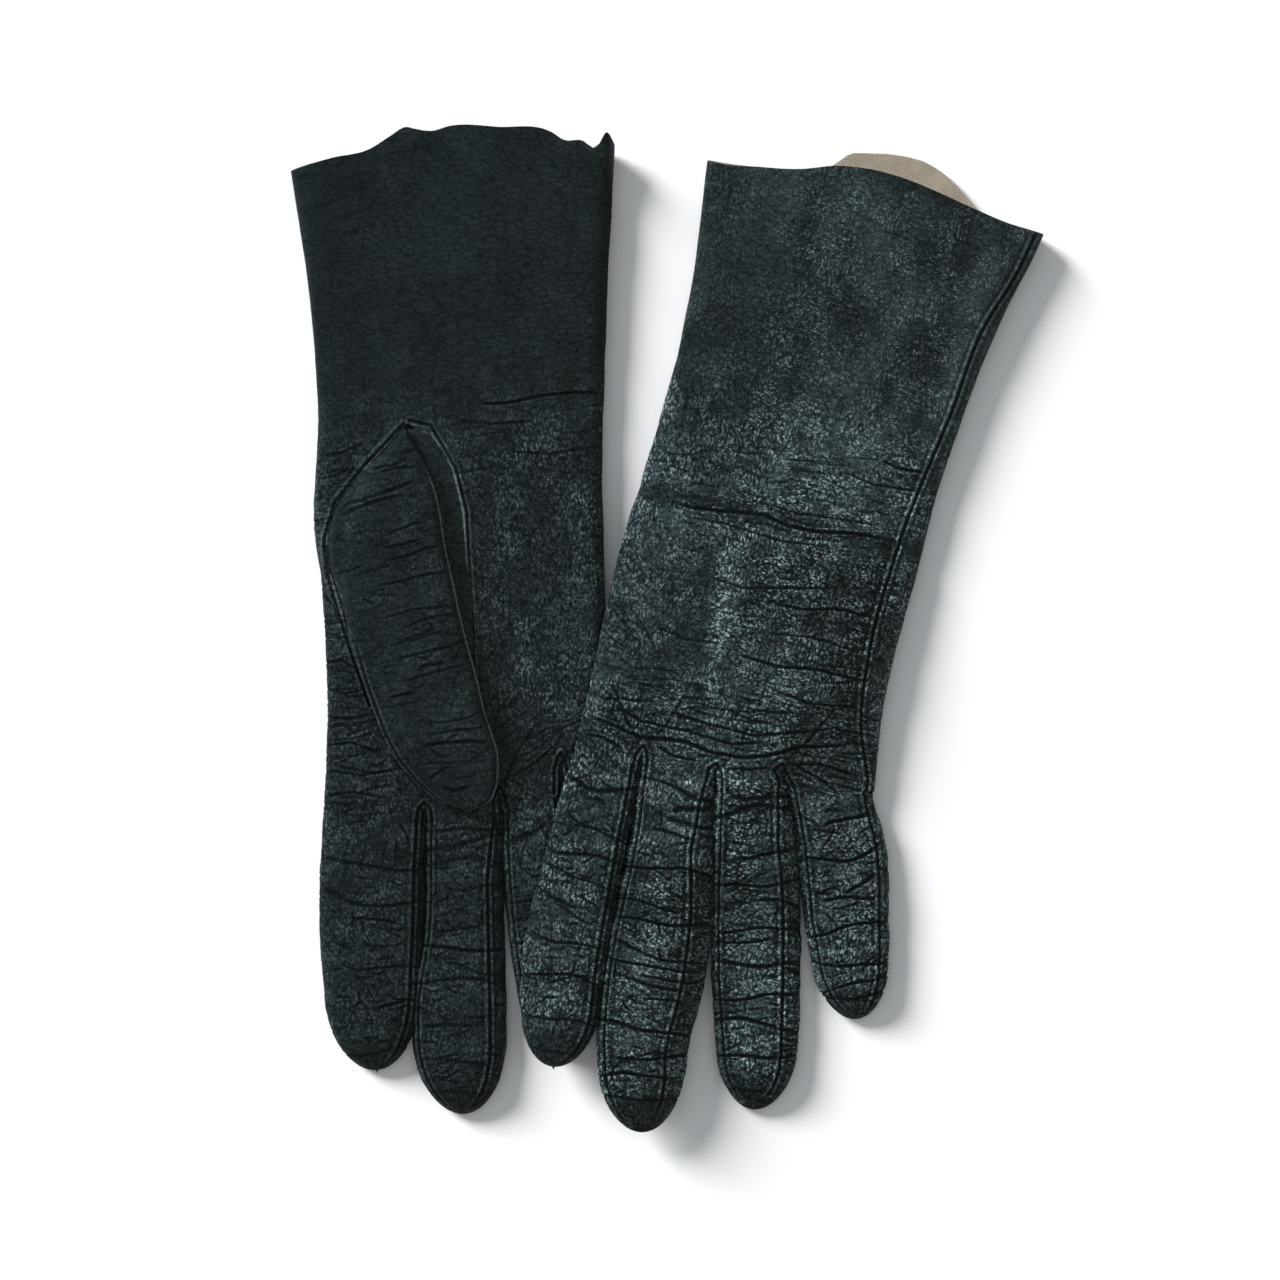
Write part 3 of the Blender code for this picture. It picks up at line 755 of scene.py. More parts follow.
def meet_hand(tube, hand, along):
    """Moves a finger's base onto the hand's edge, fading out over the finger's first few millimetres."""
    fade = 1 - smooth_step(along, 0, 6)
    around, hand_around = tube.points.shape[1], hand.points.shape[1]
    faces = (
        (np.arange(tube.last_upper + 1), np.arange(hand.last_upper + 1)),
        (np.arange(around - 1, tube.last_upper, -1), np.arange(hand_around - 1, hand.last_upper, -1)),
    )
    for own, theirs in faces:
        u, edge = tube.points[2, own, 0], hand.points[2, theirs]
        for axis in (1, 2):
            shift = np.interp(u, edge[:, 0], edge[:, axis]) - tube.points[2, own, axis]
            tube.points[2:, own, axis] += shift * fade[2:, own]
        shift = np.interp(u, edge[:, 0], hand.fine[2, theirs]) - tube.fine[2, own]
        tube.fine[2:, own] += shift * fade[2:, own]
        share = fade[2:, own, None]
        for key in ("normals", "shading"):
            finger_way, hand_way = getattr(tube, key), getattr(hand, key)[2, theirs]
            met = np.stack([np.interp(u, edge[:, 0], hand_way[:, axis]) for axis in range(3)], -1)
            blend = share * met + (1 - share) * finger_way[2:, own]
            finger_way[2:, own] = blend / np.linalg.norm(blend, axis=-1, keepdims=True)


def finger_tube(glove, index, joined):
    """One finger's grid, from the hand it is joined to up to its tip."""
    length = finger_length(glove, index)
    t = np.linspace(0, 1, int(length / ROW_STEP / SPREAD) + 1)
    t = 1 - (1 - t) ** 1.15
    t = np.concatenate([[0, 0], t])
    left, right, half = finger_frame(glove, index, t)
    width = np.linalg.norm(right - left, axis=1)
    closing = straight_step(t, 0.86, 1)
    high = 1.5 + (FINGER_HEIGHT - 1.5) * np.sqrt(1 - closing**2.2)
    puff = smooth_step(t, 0.0, 0.2) * (1 - closing)
    faces = finger_shares(glove, index, t, width, high / 2)
    points, outward, across = ring(left, right, high / 2, high / 2, 1.1 * puff, faces)
    columns = seam_columns(faces)
    along = np.broadcast_to((t * length)[:, None], across.shape)
    upper = np.arange(across.shape[1]) <= faces[0][3]
    half = np.maximum(half, 3)[:, None]
    above, below = [
        finger_relief(glove, index, across, along, length, half, side) for side in (True, False)
    ]
    folds, height, dark = [np.where(upper, a, b) for a, b in zip(above, below)]
    at_base = 1 - smooth_step(along, 1.0, 7.0)
    # The hand's relief and its creases' painted shade, which the finger takes on at its base.
    hand, hand_shade = hand_relief(glove, points[..., 0], points[..., 1], True)
    hand_low = hand_waves(glove, points[..., 0], points[..., 1], True)
    at_tip = 1 - smooth_step(t, 0.84, 0.97)[:, None]
    own_low = (folds + 0.4 * noise(across * 1.1 + 5 * index, along / 12, 31 + index)) * at_tip
    low = np.where(upper, hand_low * at_base + own_low * (1 - at_base), 0)
    height = height * (1 - at_base) * at_tip + hand * at_base * upper
    dark = dark * (1 - at_base) + hand_shade * at_base * upper
    seams = set(columns) - {0, faces[0][3], points.shape[1]}
    add_column_seams(points, seams, height, dark, 1 - smooth_step(t, 0.9, 0.99))
    gloss = gloss_at(glove, points) * (1 - 0.65 * smooth_step(along, length - 15, length - 8))
    tube = finished(glove, points, outward, low, height, dark, gloss)
    tube.columns, tube.last_upper = columns, faces[0][3]
    meet_hand(tube, joined, along)
    tuck_under(tube)
    return tube


# ---------------------------------------------------------------- hand and cuff


def crotch_grooves(glove, u, v):
    """How deep the grooves between the fingers' roots are, from 0 to 1."""
    depth = np.zeros(u.shape)
    for (ku, kv), (au, av) in zip(glove.knuckles[1:4], CROTCHES[glove.name]):
        up = (v - kv) / (av - kv)
        across = np.abs(u - (ku + (au - ku) * up))
        share = np.clip(up, 0, 1)
        radius = ROUND * FINGER_HEIGHT / 2 * (1 - 0.8 * share)
        inside = np.clip(1 - across / radius, 0, 1)
        depth = np.maximum(depth, (1 - np.sqrt(1 - inside**2)) * (1 - share) ** 0.7 * (up < 1))
    return depth


def crotch_lines(glove):
    """The seams that run from the fingers' fourchettes up to each crotch."""
    lines = []
    for (ku, kv), (au, av) in zip(glove.knuckles[1:4], CROTCHES[glove.name]):
        for side in (-1, 1):
            lines.append((
                (ku + side * 2.25, kv),
                (au + side * 1.9, kv + 0.62 * (av - kv)),
                (au + side * 0.9, kv + 0.9 * (av - kv)),
                (au, av + 0.3),
            ))
    return lines


THUMB_SEAMS = (
    ((-15.5, 113.5), (-9.2, 112.0), (-1.6, 99), (1.6, 86), (2.2, 72), (3.4, 48), (3.2, 33)),
    (
        (-17.5, 112.4), (-29.4, 99.8), (-38.0, 89), (-41.2, 78), (-40.6, 68), (-37.6, 58), (-32.4, 42),
        (-27.5, 28),
    ),
)


def hand_waves(glove, u, v, upper):
    """Broad waves in the hand's leather."""
    seed = (3 if glove is LEFT else 5) + (0 if upper else 20)
    calm = 1 - 0.45 * smooth_step(v, 115, 150)
    waves = calm * (0.55 * noise(u / 26, v / 30, seed) + 0.40 * noise(u / 10, v / 13, seed + 1))
    if not upper:
        return 0.5 * waves
    if glove is LEFT:
        line = np.interp(v, (8, 40, 67), (-7, -12, -16))
        step = smooth_step(u - line, -4.5, 3.5) - 0.9 * smooth_step(u - line, 5, 22)
        waves = waves + 1.0 * step * smooth_step(v, 8, 24) * (1 - smooth_step(v, 62, 80))
        waves = waves + 0.9 * np.exp(-(((v - 82) / 3.5) ** 2)) * -0.6
    return waves


def thumb_hole(u, v):
    """1 inside the palm's thumb hole, 0 outside."""
    inward = np.minimum(u - HOLE_LEFT(v), HOLE_RIGHT(v) - u)
    return smooth_step(inward, -0.2, 1.3) * ((v > HOLE_LOW) & (v < HOLE_HIGH))


def mouth_waves(glove, u, v, upper):
    """How the layers of a cuff ripple towards its rim."""
    open_share = smooth_step(v, 132, 192)
    if glove is LEFT:
        if upper:
            return open_share * (0.7 * np.sin((u + 8) / 11) + 1.6 * np.exp(-(((u - 8) / 18) ** 2)) - 0.6)
        return open_share * (0.4 + 0.4 * np.sin(u / 9))
    if upper:
        ridge = 1.3 * np.exp(-(((u + 13 - 0.95 * (201 - v)) / 3.0) ** 2)) * smooth_step(v, 186, 196)
        flap = 3.2 * smooth_step(u, 36.5, 45) * smooth_step(v, 180, 199)
        return open_share * (0.5 * np.sin(u / 8) - 0.5) + ridge + flap
    return open_share * (0.3 + 0.3 * np.sin(u / 7))


def gloss_at(glove, points):
    """How polished the leather is, from 0 to 1. Besides the roughness it sets how bright the painted
    glints and sheen are, so its rise across each glove is partly painted light.
    """
    u, v = points[..., 0], points[..., 1]
    patchy = 0.5 + 0.8 * noise(u / 19, v / 23, 71)
    if glove is RIGHT:
        across = 0.16 + 0.5 * smooth_step(u, 2, 42)
        return np.clip(across * patchy * (1 - 0.75 * smooth_step(v, 116, 136)), 0, 1)
    across = 0.62 + 0.7 * smooth_step(u, -26, 2)
    return np.clip(across * (0.5 + 0.55 * patchy), 0, 1)


def hand_sections(glove, v_row):
    width = glove.little_side(v_row) - glove.thumb_side(v_row)
    half_height = (
        FINGER_HEIGHT / 2
        + (HAND_HEIGHT - FINGER_HEIGHT) / 2 * smooth_step(v_row, 4, 34)
        + (MOUTH_HEIGHT - HAND_HEIGHT) / 2 * smooth_step(v_row, 118, 185)
    )
    return width, half_height


def flat_rows(t_hand, t_cuff):
    """v of the hand's and cuff's rows before they bend to meet the knuckles and the rim."""
    return np.concatenate([ROOTS + (WRIST - ROOTS) * t_hand, WRIST + CUFF_LENGTH * t_cuff[1:]])


def hand_face(glove, shares, t_hand, t_cuff, sign):
    """One face of the hand and cuff: its points and outward normals."""
    upper = sign > 0
    rim = glove.rim_top if upper else glove.rim_bottom
    knuckles = np.array(glove.knuckles)
    v = np.broadcast_to(flat_rows(t_hand, t_cuff)[:, None], shares.shape).copy()
    for _ in range(4):
        width, half_height = hand_sections(glove, v)
        crown = (1.0 if glove is LEFT and upper else 0.3 * upper) * smooth_step(v, 10, 40)
        x, z, side, up = half_section(shares, width, half_height, crown)
        u = glove.thumb_side(v) + x
        base = np.interp(u, knuckles[:, 0], knuckles[:, 1])
        on_hand = base + (WRIST - base) * np.pad(t_hand, (0, len(t_cuff) - 1), constant_values=1)[:, None]
        past = np.pad(t_cuff[1:], (len(t_hand), 0))[:, None]
        v = on_hand + (rim(u) - WRIST) * past
    _, half_height = hand_sections(glove, v)
    z = z * (1 - crotch_grooves(glove, u, v)) if upper else z
    height = half_height + sign * z + mouth_waves(glove, u, v, upper) * np.abs(up)
    points = np.stack([u, v, height], -1)
    outward = np.stack([side, 0 * up, sign * up], -1)
    return points, outward


def hand_tube(glove):
    """The hand and cuff as one grid, from the fingers' roots to the rim."""
    t_hand = np.concatenate([[0, 0], np.linspace(0, 1, int(118 / ROW_STEP / SPREAD) + 1)])
    t_cuff = np.linspace(0, 1, int(76 / 0.42 / SPREAD) + 1)
    row_v = flat_rows(t_hand, t_cuff)
    width, half_height = hand_sections(glove, row_v)
    inset = SIDE_SEAM(row_v) if glove is LEFT else 0 * row_v
    last = share_at(inset, width, half_height) if glove is LEFT else 0 * row_v
    main, edge = int(92 / FINE / SPREAD), int(8 / FINE / SPREAD) if glove is LEFT else 0
    upper = runs((0 * row_v, 1 - last, main), (1 - last, 0 * row_v + 1, edge))
    lower = runs((0 * row_v, 0 * row_v + 1, int(92 / UNDER / SPREAD)))
    top, top_out = hand_face(glove, upper, t_hand, t_cuff, 1)
    bottom, bottom_out = hand_face(glove, lower, t_hand, t_cuff, -1)
    points = np.concatenate([top, bottom[:, -2:0:-1]], 1)
    outward = np.concatenate([top_out, bottom_out[:, -2:0:-1]], 1)
    is_upper = np.arange(points.shape[1]) < top.shape[1]
    u, v = points[..., 0], points[..., 1]
    reliefs = [hand_relief(glove, u, v, side) for side in (True, False)]
    fine, dark = [np.where(is_upper, a, b) for a, b in zip(*reliefs)]
    low = np.where(is_upper, hand_waves(glove, u, v, True), hand_waves(glove, u, v, False))
    palm = is_upper if glove.palm_up else ~is_upper
    hole = thumb_hole(u, v) * palm
    low = low - 1.5 * hole
    seams = [(line, is_upper) for line in crotch_lines(glove)] + [(line, palm) for line in THUMB_SEAMS]
    for line, face in seams:
        distance, _ = polyline_distance(u, v, line)
        # The seams' grooves, with painted shade along them.
        groove, seam_shade = seam_groove(distance, 0.9)
        fine += groove * face
        dark = np.maximum(dark, seam_shade * face)
    rim_fade = 1 - smooth_step(np.pad(t_cuff[1:], (len(t_hand), 0)), 0.96, 1)
    if glove is LEFT:
        add_column_seams(points, [main], fine, dark, rim_fade)
    fine *= rim_fade[:, None]
    tube = finished(glove, points, outward, low, fine, dark, gloss_at(glove, points))
    groove = crotch_grooves(glove, u, v) * is_upper
    missing = deepest_near(groove, int(2.4 / FINE / SPREAD)) - groove
    tube.sunk = np.minimum(FINGER_HEIGHT / 2 * missing, 1.6)
    tuck_under(tube)
    tube.side_column, tube.wrist_row, tube.last_upper = main, len(t_hand) - 1, top.shape[1] - 1
    return tube


# ---------------------------------------------------------------- thumb


def palm_level(glove, v):
    """The height of the palm's face at the thumb, without the left glove's lift."""
    return HAND_HEIGHT + 0.2 if glove is RIGHT else 0 * v


def thumb_tube(glove):
    """The thumb: it grows out of its hole's left side above, and lies free below."""
    t = np.linspace(0, 1, int(124 / ROW_STEP / SPREAD) + 1)
    v = THUMB_TOP + (THUMB_TIP - THUMB_TOP) * (1 - (1 - t) ** 1.35)
    left, right = THUMB_LEFT(v), np.maximum(THUMB_RIGHT(v), THUMB_LEFT(v))
    width = right - left
    thick = 1.0 + 3.4 * smooth_step(v, 112, 74) * (1 - 0.5 * smooth_step(v, 22, -3.6))
    if glove is LEFT:
        room = lift(glove, (left + right) / 2, v) - 1.6
        thick = np.minimum(thick, np.maximum(room, 1.0))
    upper = runs((0 * t, 0 * t + 1, int(44 / FINE / SPREAD)))
    lower = runs((0 * t, 0 * t + 1, int(44 / THUMB_UNDER / SPREAD)))
    last_upper, last_lower = upper.shape[1] - 1, lower.shape[1] - 1
    faces = ((upper, 0, last_upper, last_upper), (lower, 0, last_lower, last_lower))
    edges = [np.stack([side, v], -1) for side in (left, right)]
    floor = palm_level(glove, v) + (0.35 if glove is RIGHT else 0.65)
    points, outward, across = ring(edges[0], edges[1], floor + thick / 2, thick / 2, 0 * t + 0.5, faces)
    is_upper = np.arange(points.shape[1]) < upper.shape[1]
    sewn = smooth_step(v, 50, 66)[:, None] * (1 - smooth_step(across, -1, -0.45))
    points[..., 2] -= (0.46 * thick[:, None] + 0.2) * sewn * (1 if glove is RIGHT else -1)
    outer_side = is_upper if glove is RIGHT else ~is_upper
    fine, dark = thumb_relief(points[..., 0], points[..., 1])
    distance = (across + 1) / 2 * width[:, None]
    # The seam near the thumb's left edge, with painted shade in its groove.
    groove, line = seam_groove(np.abs(distance - 1.7), 0.8)
    closing = 1 - smooth_step(v, 38, 50)[:, None]
    fine = (fine + groove * closing) * outer_side
    dark = np.maximum(dark, line * closing) * outer_side
    low = 0.5 * noise(points[..., 0] / 12, points[..., 1] / 15, 61) * outer_side
    edge_fade = smooth_step(t, 0, 0.02)[:, None] * (1 - smooth_step(t, 0.97, 1))[:, None]
    free_edge = np.exp(-(((distance - width[:, None] + 0.4) / 0.32) ** 2)) * outer_side
    free_edge = free_edge * smooth_step(v, 106, 90)[:, None]
    gloss = 0.55 * gloss_at(glove, points) + 0.1 + 0.7 * free_edge
    tube = finished(glove, points, outward, low * edge_fade, fine * edge_fade, dark, gloss)
    tube.crest += 1.2 * free_edge
    tube.grain *= 0.3
    if glove is LEFT:
        tube.points[..., 2] -= lift(glove, tube.points[..., 0], tube.points[..., 1]) * (1 - 0.85 * sewn)
    tube.last_upper = last_upper
    return tube


def gusset_sheet(glove):
    """The patch in the thumb hole, a little below the palm's face."""
    rows = np.linspace(HOLE_LOW + 2, HOLE_HIGH - 1.5, int(90 / 0.7 / SPREAD))
    columns = np.linspace(0, 1, int(44 / 0.7 / SPREAD))
    v = np.broadcast_to(rows[:, None], (len(rows), len(columns)))
    left, right = HOLE_LEFT(v) - 0.6, HOLE_RIGHT(v) + 0.6
    u = left + (right - left) * columns
    up = 1 if glove is RIGHT else -1
    level = HAND_HEIGHT - 0.1 if glove is RIGHT else 0.75
    points = np.stack([u, v, level + 0 * u], -1)
    outward = np.zeros(points.shape)
    outward[..., 2] = up
    fine, dark = hand_relief(glove, u, v, True)
    low = 0.25 * noise(u / 9, v / 9, 81)
    # Little gloss keeps this patch rough and dull, and darker than the palm: painted shade in the hole
    # beside the thumb.
    gloss = 0.2 * gloss_at(glove, points)
    sheet = finished(glove, points, outward, low, fine * 0.6, dark, gloss, closed=False)
    sheet.grain *= 0.4
    return sheet


# ---------------------------------------------------------------- panels


def spaced(line, step):
    """Indexes along a line of points about step apart, with both ends."""
    along = np.concatenate([[0], np.cumsum(np.linalg.norm(np.diff(line, axis=0), axis=1))])
    count = max(int(along[-1] / step), 1)
    wanted = np.linspace(0, along[-1], count + 1)
    return sorted({0, len(line) - 1, *np.searchsorted(along, wanted).clip(0, len(line) - 1).tolist()})


def deepest_near(drop, reach):
    """Each point's largest value within reach rows and columns."""
    for axis in (0, 1):
        drop = np.max([np.roll(drop, shift, axis) for shift in range(-reach, reach + 1)], axis=0)
    return drop


def placed(name, data):
    """A new object in the scene that shows data."""
    thing = bpy.data.objects.new(name, data)
    bpy.context.collection.objects.link(thing)
    return thing


def grid_faces(rows, columns, start, flip):
    """The quads of a grid whose points begin at start."""
    i, j = np.meshgrid(np.arange(rows - 1), np.arange(columns - 1), indexing="ij")
    corner = start + i * columns + j
    quads = np.stack([corner, corner + columns, corner + columns + 1, corner + 1], -1).reshape(-1, 4)
    return quads[:, ::-1] if flip else quads


def border_walls(rows, columns, coarse_rows, coarse_columns, flip):
    """The faces that close a panel between its outer grid's border and its inner one's."""
    inner = rows * columns
    many = len(coarse_columns)
    walls = []
    for row, inner_row, ahead in ((0, 0, True), (rows - 1, len(coarse_rows) - 1, False)):
        for k, (a, b) in enumerate(zip(coarse_columns[:-1], coarse_columns[1:])):
            outer = [row * columns + j for j in range(a, b + 1)]
            below = [inner + inner_row * many + k + 1, inner + inner_row * many + k]
            walls.append(outer + below if ahead else outer[::-1] + below[::-1])
    for column, inner_column, ahead in ((0, 0, False), (columns - 1, many - 1, True)):
        for k, (a, b) in enumerate(zip(coarse_rows[:-1], coarse_rows[1:])):
            outer = [i * columns + column for i in range(a, b + 1)]
            below = [inner + (k + 1) * many + inner_column, inner + k * many + inner_column]
            walls.append(outer + below if ahead else outer[::-1] + below[::-1])
    return [wall[::-1] for wall in walls] if flip else walls


def point_values(mesh, name, values, kind="FLOAT"):
    attribute = mesh.attributes.new(name, kind, "POINT")
    key = "vector" if kind == "FLOAT_VECTOR" else "value"
    attribute.data.foreach_set(key, np.ascontiguousarray(values, np.float32).ravel())


OTHER_HIDE = (300, 150, 0)  # moves the left glove's grain, so that it isn't the right one's


def panel(name, tube, rows, columns, flesh=False, rim=False):
    """A closed piece of hide: the tube's rows and columns from first to last, and an inner side below.

    With flesh, the inner side shows the hide's flesh side; with rim, its last row is a cut edge.
    """
    around = tube.points.shape[1]
    r = np.arange(rows[0], rows[1] + 1)
    c = np.arange(columns[0], columns[1] + 1) % around
    picked = np.ix_(r, c)
    middle_row, middle_column = tube.points[r[len(r) // 2], c], tube.points[r, c[len(c) // 2]]
    coarse_rows, coarse_columns = spaced(middle_column, INNER_STEP), spaced(middle_row, INNER_STEP)
    inner_picked = np.ix_(r[coarse_rows], c[coarse_columns])
    outer = tube.points[picked] + tube.normals[picked] * tube.fine[picked][..., None]
    outer[..., 2] = np.maximum(outer[..., 2], 0.02)
    inner = tube.points[inner_picked] - HIDE * tube.normals[inner_picked]
    inner[..., 2] -= tube.sunk[inner_picked]
    offset = (0, 0, 0) if tube.glove is RIGHT else OTHER_HIDE
    flip = tube.sign < 0
    quads = grid_faces(len(r), len(c), 0, flip)
    inside = grid_faces(len(coarse_rows), len(coarse_columns), outer[..., 0].size, not flip)
    walls = border_walls(len(r), len(c), coarse_rows, coarse_columns, flip)
    points = np.concatenate([outer.reshape(-1, 3), inner.reshape(-1, 3)])
    mesh = bpy.data.meshes.new(name)
    mesh.from_pydata(world(tube.glove, points), [], quads.tolist() + inside.tolist() + walls)
    kinds = np.repeat([0, 1 if flesh else 0, 0], [len(quads), len(inside), len(walls)])
    kinds[len(quads) : len(quads) + 3 * (len(coarse_columns) - 1)] = 0
    if rim:
        first = len(quads) + len(inside) + len(coarse_columns) - 1
        kinds[first : first + len(coarse_columns) - 1] = 2
    mesh.polygons.foreach_set("material_index", kinds.astype(np.int32))
    mesh.polygons.foreach_set("use_smooth", np.ones(len(kinds), bool))
    normals = [tube.shading[picked].reshape(-1, 3), -tube.normals[inner_picked].reshape(-1, 3)]
    mesh.normals_split_custom_set_from_vertices(turned(tube.glove, np.concatenate(normals)))
    rest = np.concatenate([tube.rest[picked].reshape(-1, 3), tube.rest[inner_picked].reshape(-1, 3)])
    point_values(mesh, "rest", rest + offset, "FLOAT_VECTOR")
    # dark carries the painted shade of creases and seams; crest, gloss and grain set where the painted
    # sheen and glints show.
    for key in ("crest", "dark", "gloss", "grain", "flow"):
        values = getattr(tube, key)
        point_values(mesh, key, np.concatenate([values[picked].ravel(), values[inner_picked].ravel()]))
    return placed(name, mesh)


# A stitch's rings: how far along its length, and how wide for its radius.
STITCH_RINGS = ((-0.5, 0.35), (-0.34, 1.0), (0.34, 1.0), (0.5, 0.35))


def stitches(name, glove, path, normals, spacing=1.5, length=1.05, radius=0.2):
    """A row of short threads along a path in the glove's frame."""
    along = np.concatenate([[0], np.cumsum(np.linalg.norm(np.diff(path, axis=0), axis=1))])
    middles = np.arange(spacing / 2, along[-1] - spacing / 2, spacing)

    def on_path(where, values):
        return np.stack([np.interp(where, along, values[:, k]) for k in range(3)], -1)

    place, up = on_path(middles, path), on_path(middles, normals)
    before, after = on_path(middles - length / 2, path), on_path(middles + length / 2, path)
    ahead = (after - before) / np.linalg.norm(after - before, axis=1, keepdims=True)
    side = np.cross(ahead, up)
    side /= np.linalg.norm(side, axis=1, keepdims=True)
    up = np.cross(side, ahead)
    points, faces = [], []
    for k in range(len(middles)):
        start = len(points)
        for at, size in STITCH_RINGS:
            for corner in range(6):
                angle = corner * math.pi / 3
                spoke = side[k] * math.cos(angle) + up[k] * math.sin(angle)
                points.append(place[k] + ahead[k] * at * length + spoke * radius * size)
        for ring_index in range(3):
            for corner in range(6):
                a = start + 6 * ring_index + corner
                b = start + 6 * ring_index + (corner + 1) % 6
                faces.append((a, b, b + 6, a + 6))
        faces.append(tuple(start + corner for corner in range(5, -1, -1)))
        faces.append(tuple(start + 18 + corner for corner in range(6)))
    mesh = bpy.data.meshes.new(name)
    mesh.from_pydata(world(glove, np.array(points)), [], faces)
    mesh.polygons.foreach_set("use_smooth", np.ones(len(faces), bool))
    piece = placed(name, mesh)
    piece.data.materials.append(THREAD)
    return piece


def stitch_path(tube, rows, column, inset=0.0):
    """A line along a tube's column, moved sideways by inset towards the next columns."""
    r = np.arange(rows[0], rows[1] + 1)
    around = tube.points.shape[1]
    here = tube.points[r, column % around]
    beside = tube.points[r, (column + (1 if inset > 0 else -1)) % around] - here
    beside /= np.maximum(np.linalg.norm(beside, axis=1, keepdims=True), 1e-6)
    normals = tube.normals[r, column % around]
    return here + beside * abs(inset) - normals * 0.10, normals


# ---------------------------------------------------------------- materials


class Nodes:
    """Short calls for building one material's node tree."""

    def __init__(self, name):
        self.material = bpy.data.materials.new(name)
        self.material.use_nodes = True
        self.tree = self.material.node_tree
        self.shader = self.tree.nodes["Principled BSDF"]

    def add(self, kind, settings=None, **inputs):
        node = self.tree.nodes.new(kind)
        for key, value in (settings or {}).items():
            setattr(node, key, value)
        for key, value in inputs.items():
            self.put(node.inputs[key.replace("_", " ")], value)
        return node

    def put(self, socket, value):
        if isinstance(value, bpy.types.NodeSocket):
            self.tree.links.new(value, socket)
        else:
            socket.default_value = value

    def attribute(self, name, output="Fac"):
        return self.add("ShaderNodeAttribute", {"attribute_name": name}).outputs[output]

    def math(self, operation, a, b=0.0, clamp=False):
        node = self.add("ShaderNodeMath", {"operation": operation, "use_clamp": clamp})
        self.put(node.inputs[0], a)
        self.put(node.inputs[1], b)
        return node.outputs[0]

    def noise(self, vector, scale, detail=3.0, roughness=0.55):
        return self.add(
            "ShaderNodeTexNoise", None, Vector=vector, Scale=scale, Detail=detail, Roughness=roughness
        ).outputs["Fac"]

    def cells(self, vector, scale, feature="F1"):
        node = self.add("ShaderNodeTexVoronoi", {"feature": feature}, Vector=vector, Scale=scale)
        return node.outputs["Distance"]

    def scaled(self, vector, factors):
        node = self.add("ShaderNodeVectorMath", {"operation": "MULTIPLY"})
        self.put(node.inputs[0], vector)
        node.inputs[1].default_value = factors
        return node.outputs[0]

    def ramp(self, value, low, high, start=0.0, end=1.0):
        node = self.add("ShaderNodeMapRange", None, Value=value)
        for key, number in (("From Min", low), ("From Max", high), ("To Min", start), ("To Max", end)):
            node.inputs[key].default_value = number
        return node.outputs[0]

    def mix(self, factor, a, b):
        node = self.add("ShaderNodeMix", {"data_type": "RGBA"})
        self.put(node.inputs["Factor"], factor)
        self.put(node.inputs[6], a)
        self.put(node.inputs[7], b)
        return node.outputs[2]

    def bump(self, height, distance, strength=1.0):
        node = self.add("ShaderNodeBump", None, Height=height, Distance=distance, Strength=strength)
        return node.outputs[0]


def leather_grain(n, rest, grain):
    """The hide's pebbles and the pits between them, small cells, wrinkles and a net of fine lines."""
    warp = n.add("ShaderNodeTexNoise", None, Vector=rest, Scale=0.5, Detail=2.0).outputs["Color"]
    bent = n.add("ShaderNodeVectorMath", {"operation": "MULTIPLY_ADD"})
    n.put(bent.inputs[0], warp)
    bent.inputs[1].default_value = (1.6, 1.6, 1.6)
    n.put(bent.inputs[2], rest)
    bent = bent.outputs[0]
    round_grain = n.cells(n.scaled(bent, (0.9, 1.15, 0.8)), 1.3, "SMOOTH_F1")
    long_grain = n.cells(n.scaled(bent, (1.4, 0.62, 0.8)), 1.3, "SMOOTH_F1")
    drawn_patches = n.ramp(n.noise(rest, 0.09, 2.0), 0.48, 0.58)
    drawn_out = n.math("ADD", drawn_patches, n.attribute("flow"), clamp=True)
    rounded = n.math("MULTIPLY", round_grain, n.ramp(drawn_out, 0.0, 1.0, 1.0, 0.0))
    pebbles = n.math("ADD", rounded, n.math("MULTIPLY", long_grain, drawn_out))
    network = n.cells(n.scaled(bent, (0.28, 0.62, 0.4)), 1.0, "DISTANCE_TO_EDGE")
    return SimpleNamespace(
        pebbles=pebbles,
        pits=n.math("MULTIPLY", n.ramp(pebbles, 0.46, 0.76), n.ramp(grain, 0.0, 1.0, 0.05, 0.8)),
        small=n.cells(bent, 3.0),
        wrinkles=n.noise(n.scaled(bent, (0.34, 1.0, 0.6)), 1.3, 4.0, 0.62),
        line=n.ramp(network, 0.0, 0.075, 1.0, 0.0),
    )


def leather_wear_and_shine(n, hide, rest, crest, grain):
    """Pebble tops, how polished each spot is, the pebble tops painted bright as glints, and a broad
    painted sheen.
    """
    gloss = n.attribute("gloss")
    top = n.ramp(hide.pebbles, 0.14, 0.50, 1.0, 0.0)
    polish = n.math("MULTIPLY", gloss, n.ramp(n.noise(rest, 0.12, 3.0, 0.5), 0.36, 0.62, 0.15, 1.15))
    polish = n.math("MULTIPLY", polish, n.ramp(crest, -0.12, 0.14, 0.05, 1.65))
    smoothed = n.math("ADD", top, n.ramp(hide.wrinkles, 0.35, 0.6, -0.1, 0.4))
    top = n.math("MULTIPLY", top, smoothed, clamp=True)
    # raised: the pebble tops painted pale in the colour, a painted glint that grows with polish and
    # grain.
    raised = n.math("MULTIPLY", top, n.ramp(polish, 0.0, 1.0, 0.04, 1.0))
    raised = n.math("MULTIPLY", raised, grain, clamp=True)
    # sheen: broad soft patches of painted sheen, stronger on glossy leather and on crests.
    sheen = n.noise(n.scaled(rest, (1.0, 0.45, 1.0)), 0.055, 2.0, 0.5)
    sheen = n.math("MULTIPLY", n.ramp(sheen, 0.38, 0.66), n.ramp(gloss, 0.2, 0.95))
    sheen = n.math("MULTIPLY", sheen, n.ramp(crest, -0.12, 0.10, 0.25, 1.0))
    return SimpleNamespace(top=top, polish=polish, raised=raised, sheen=sheen)


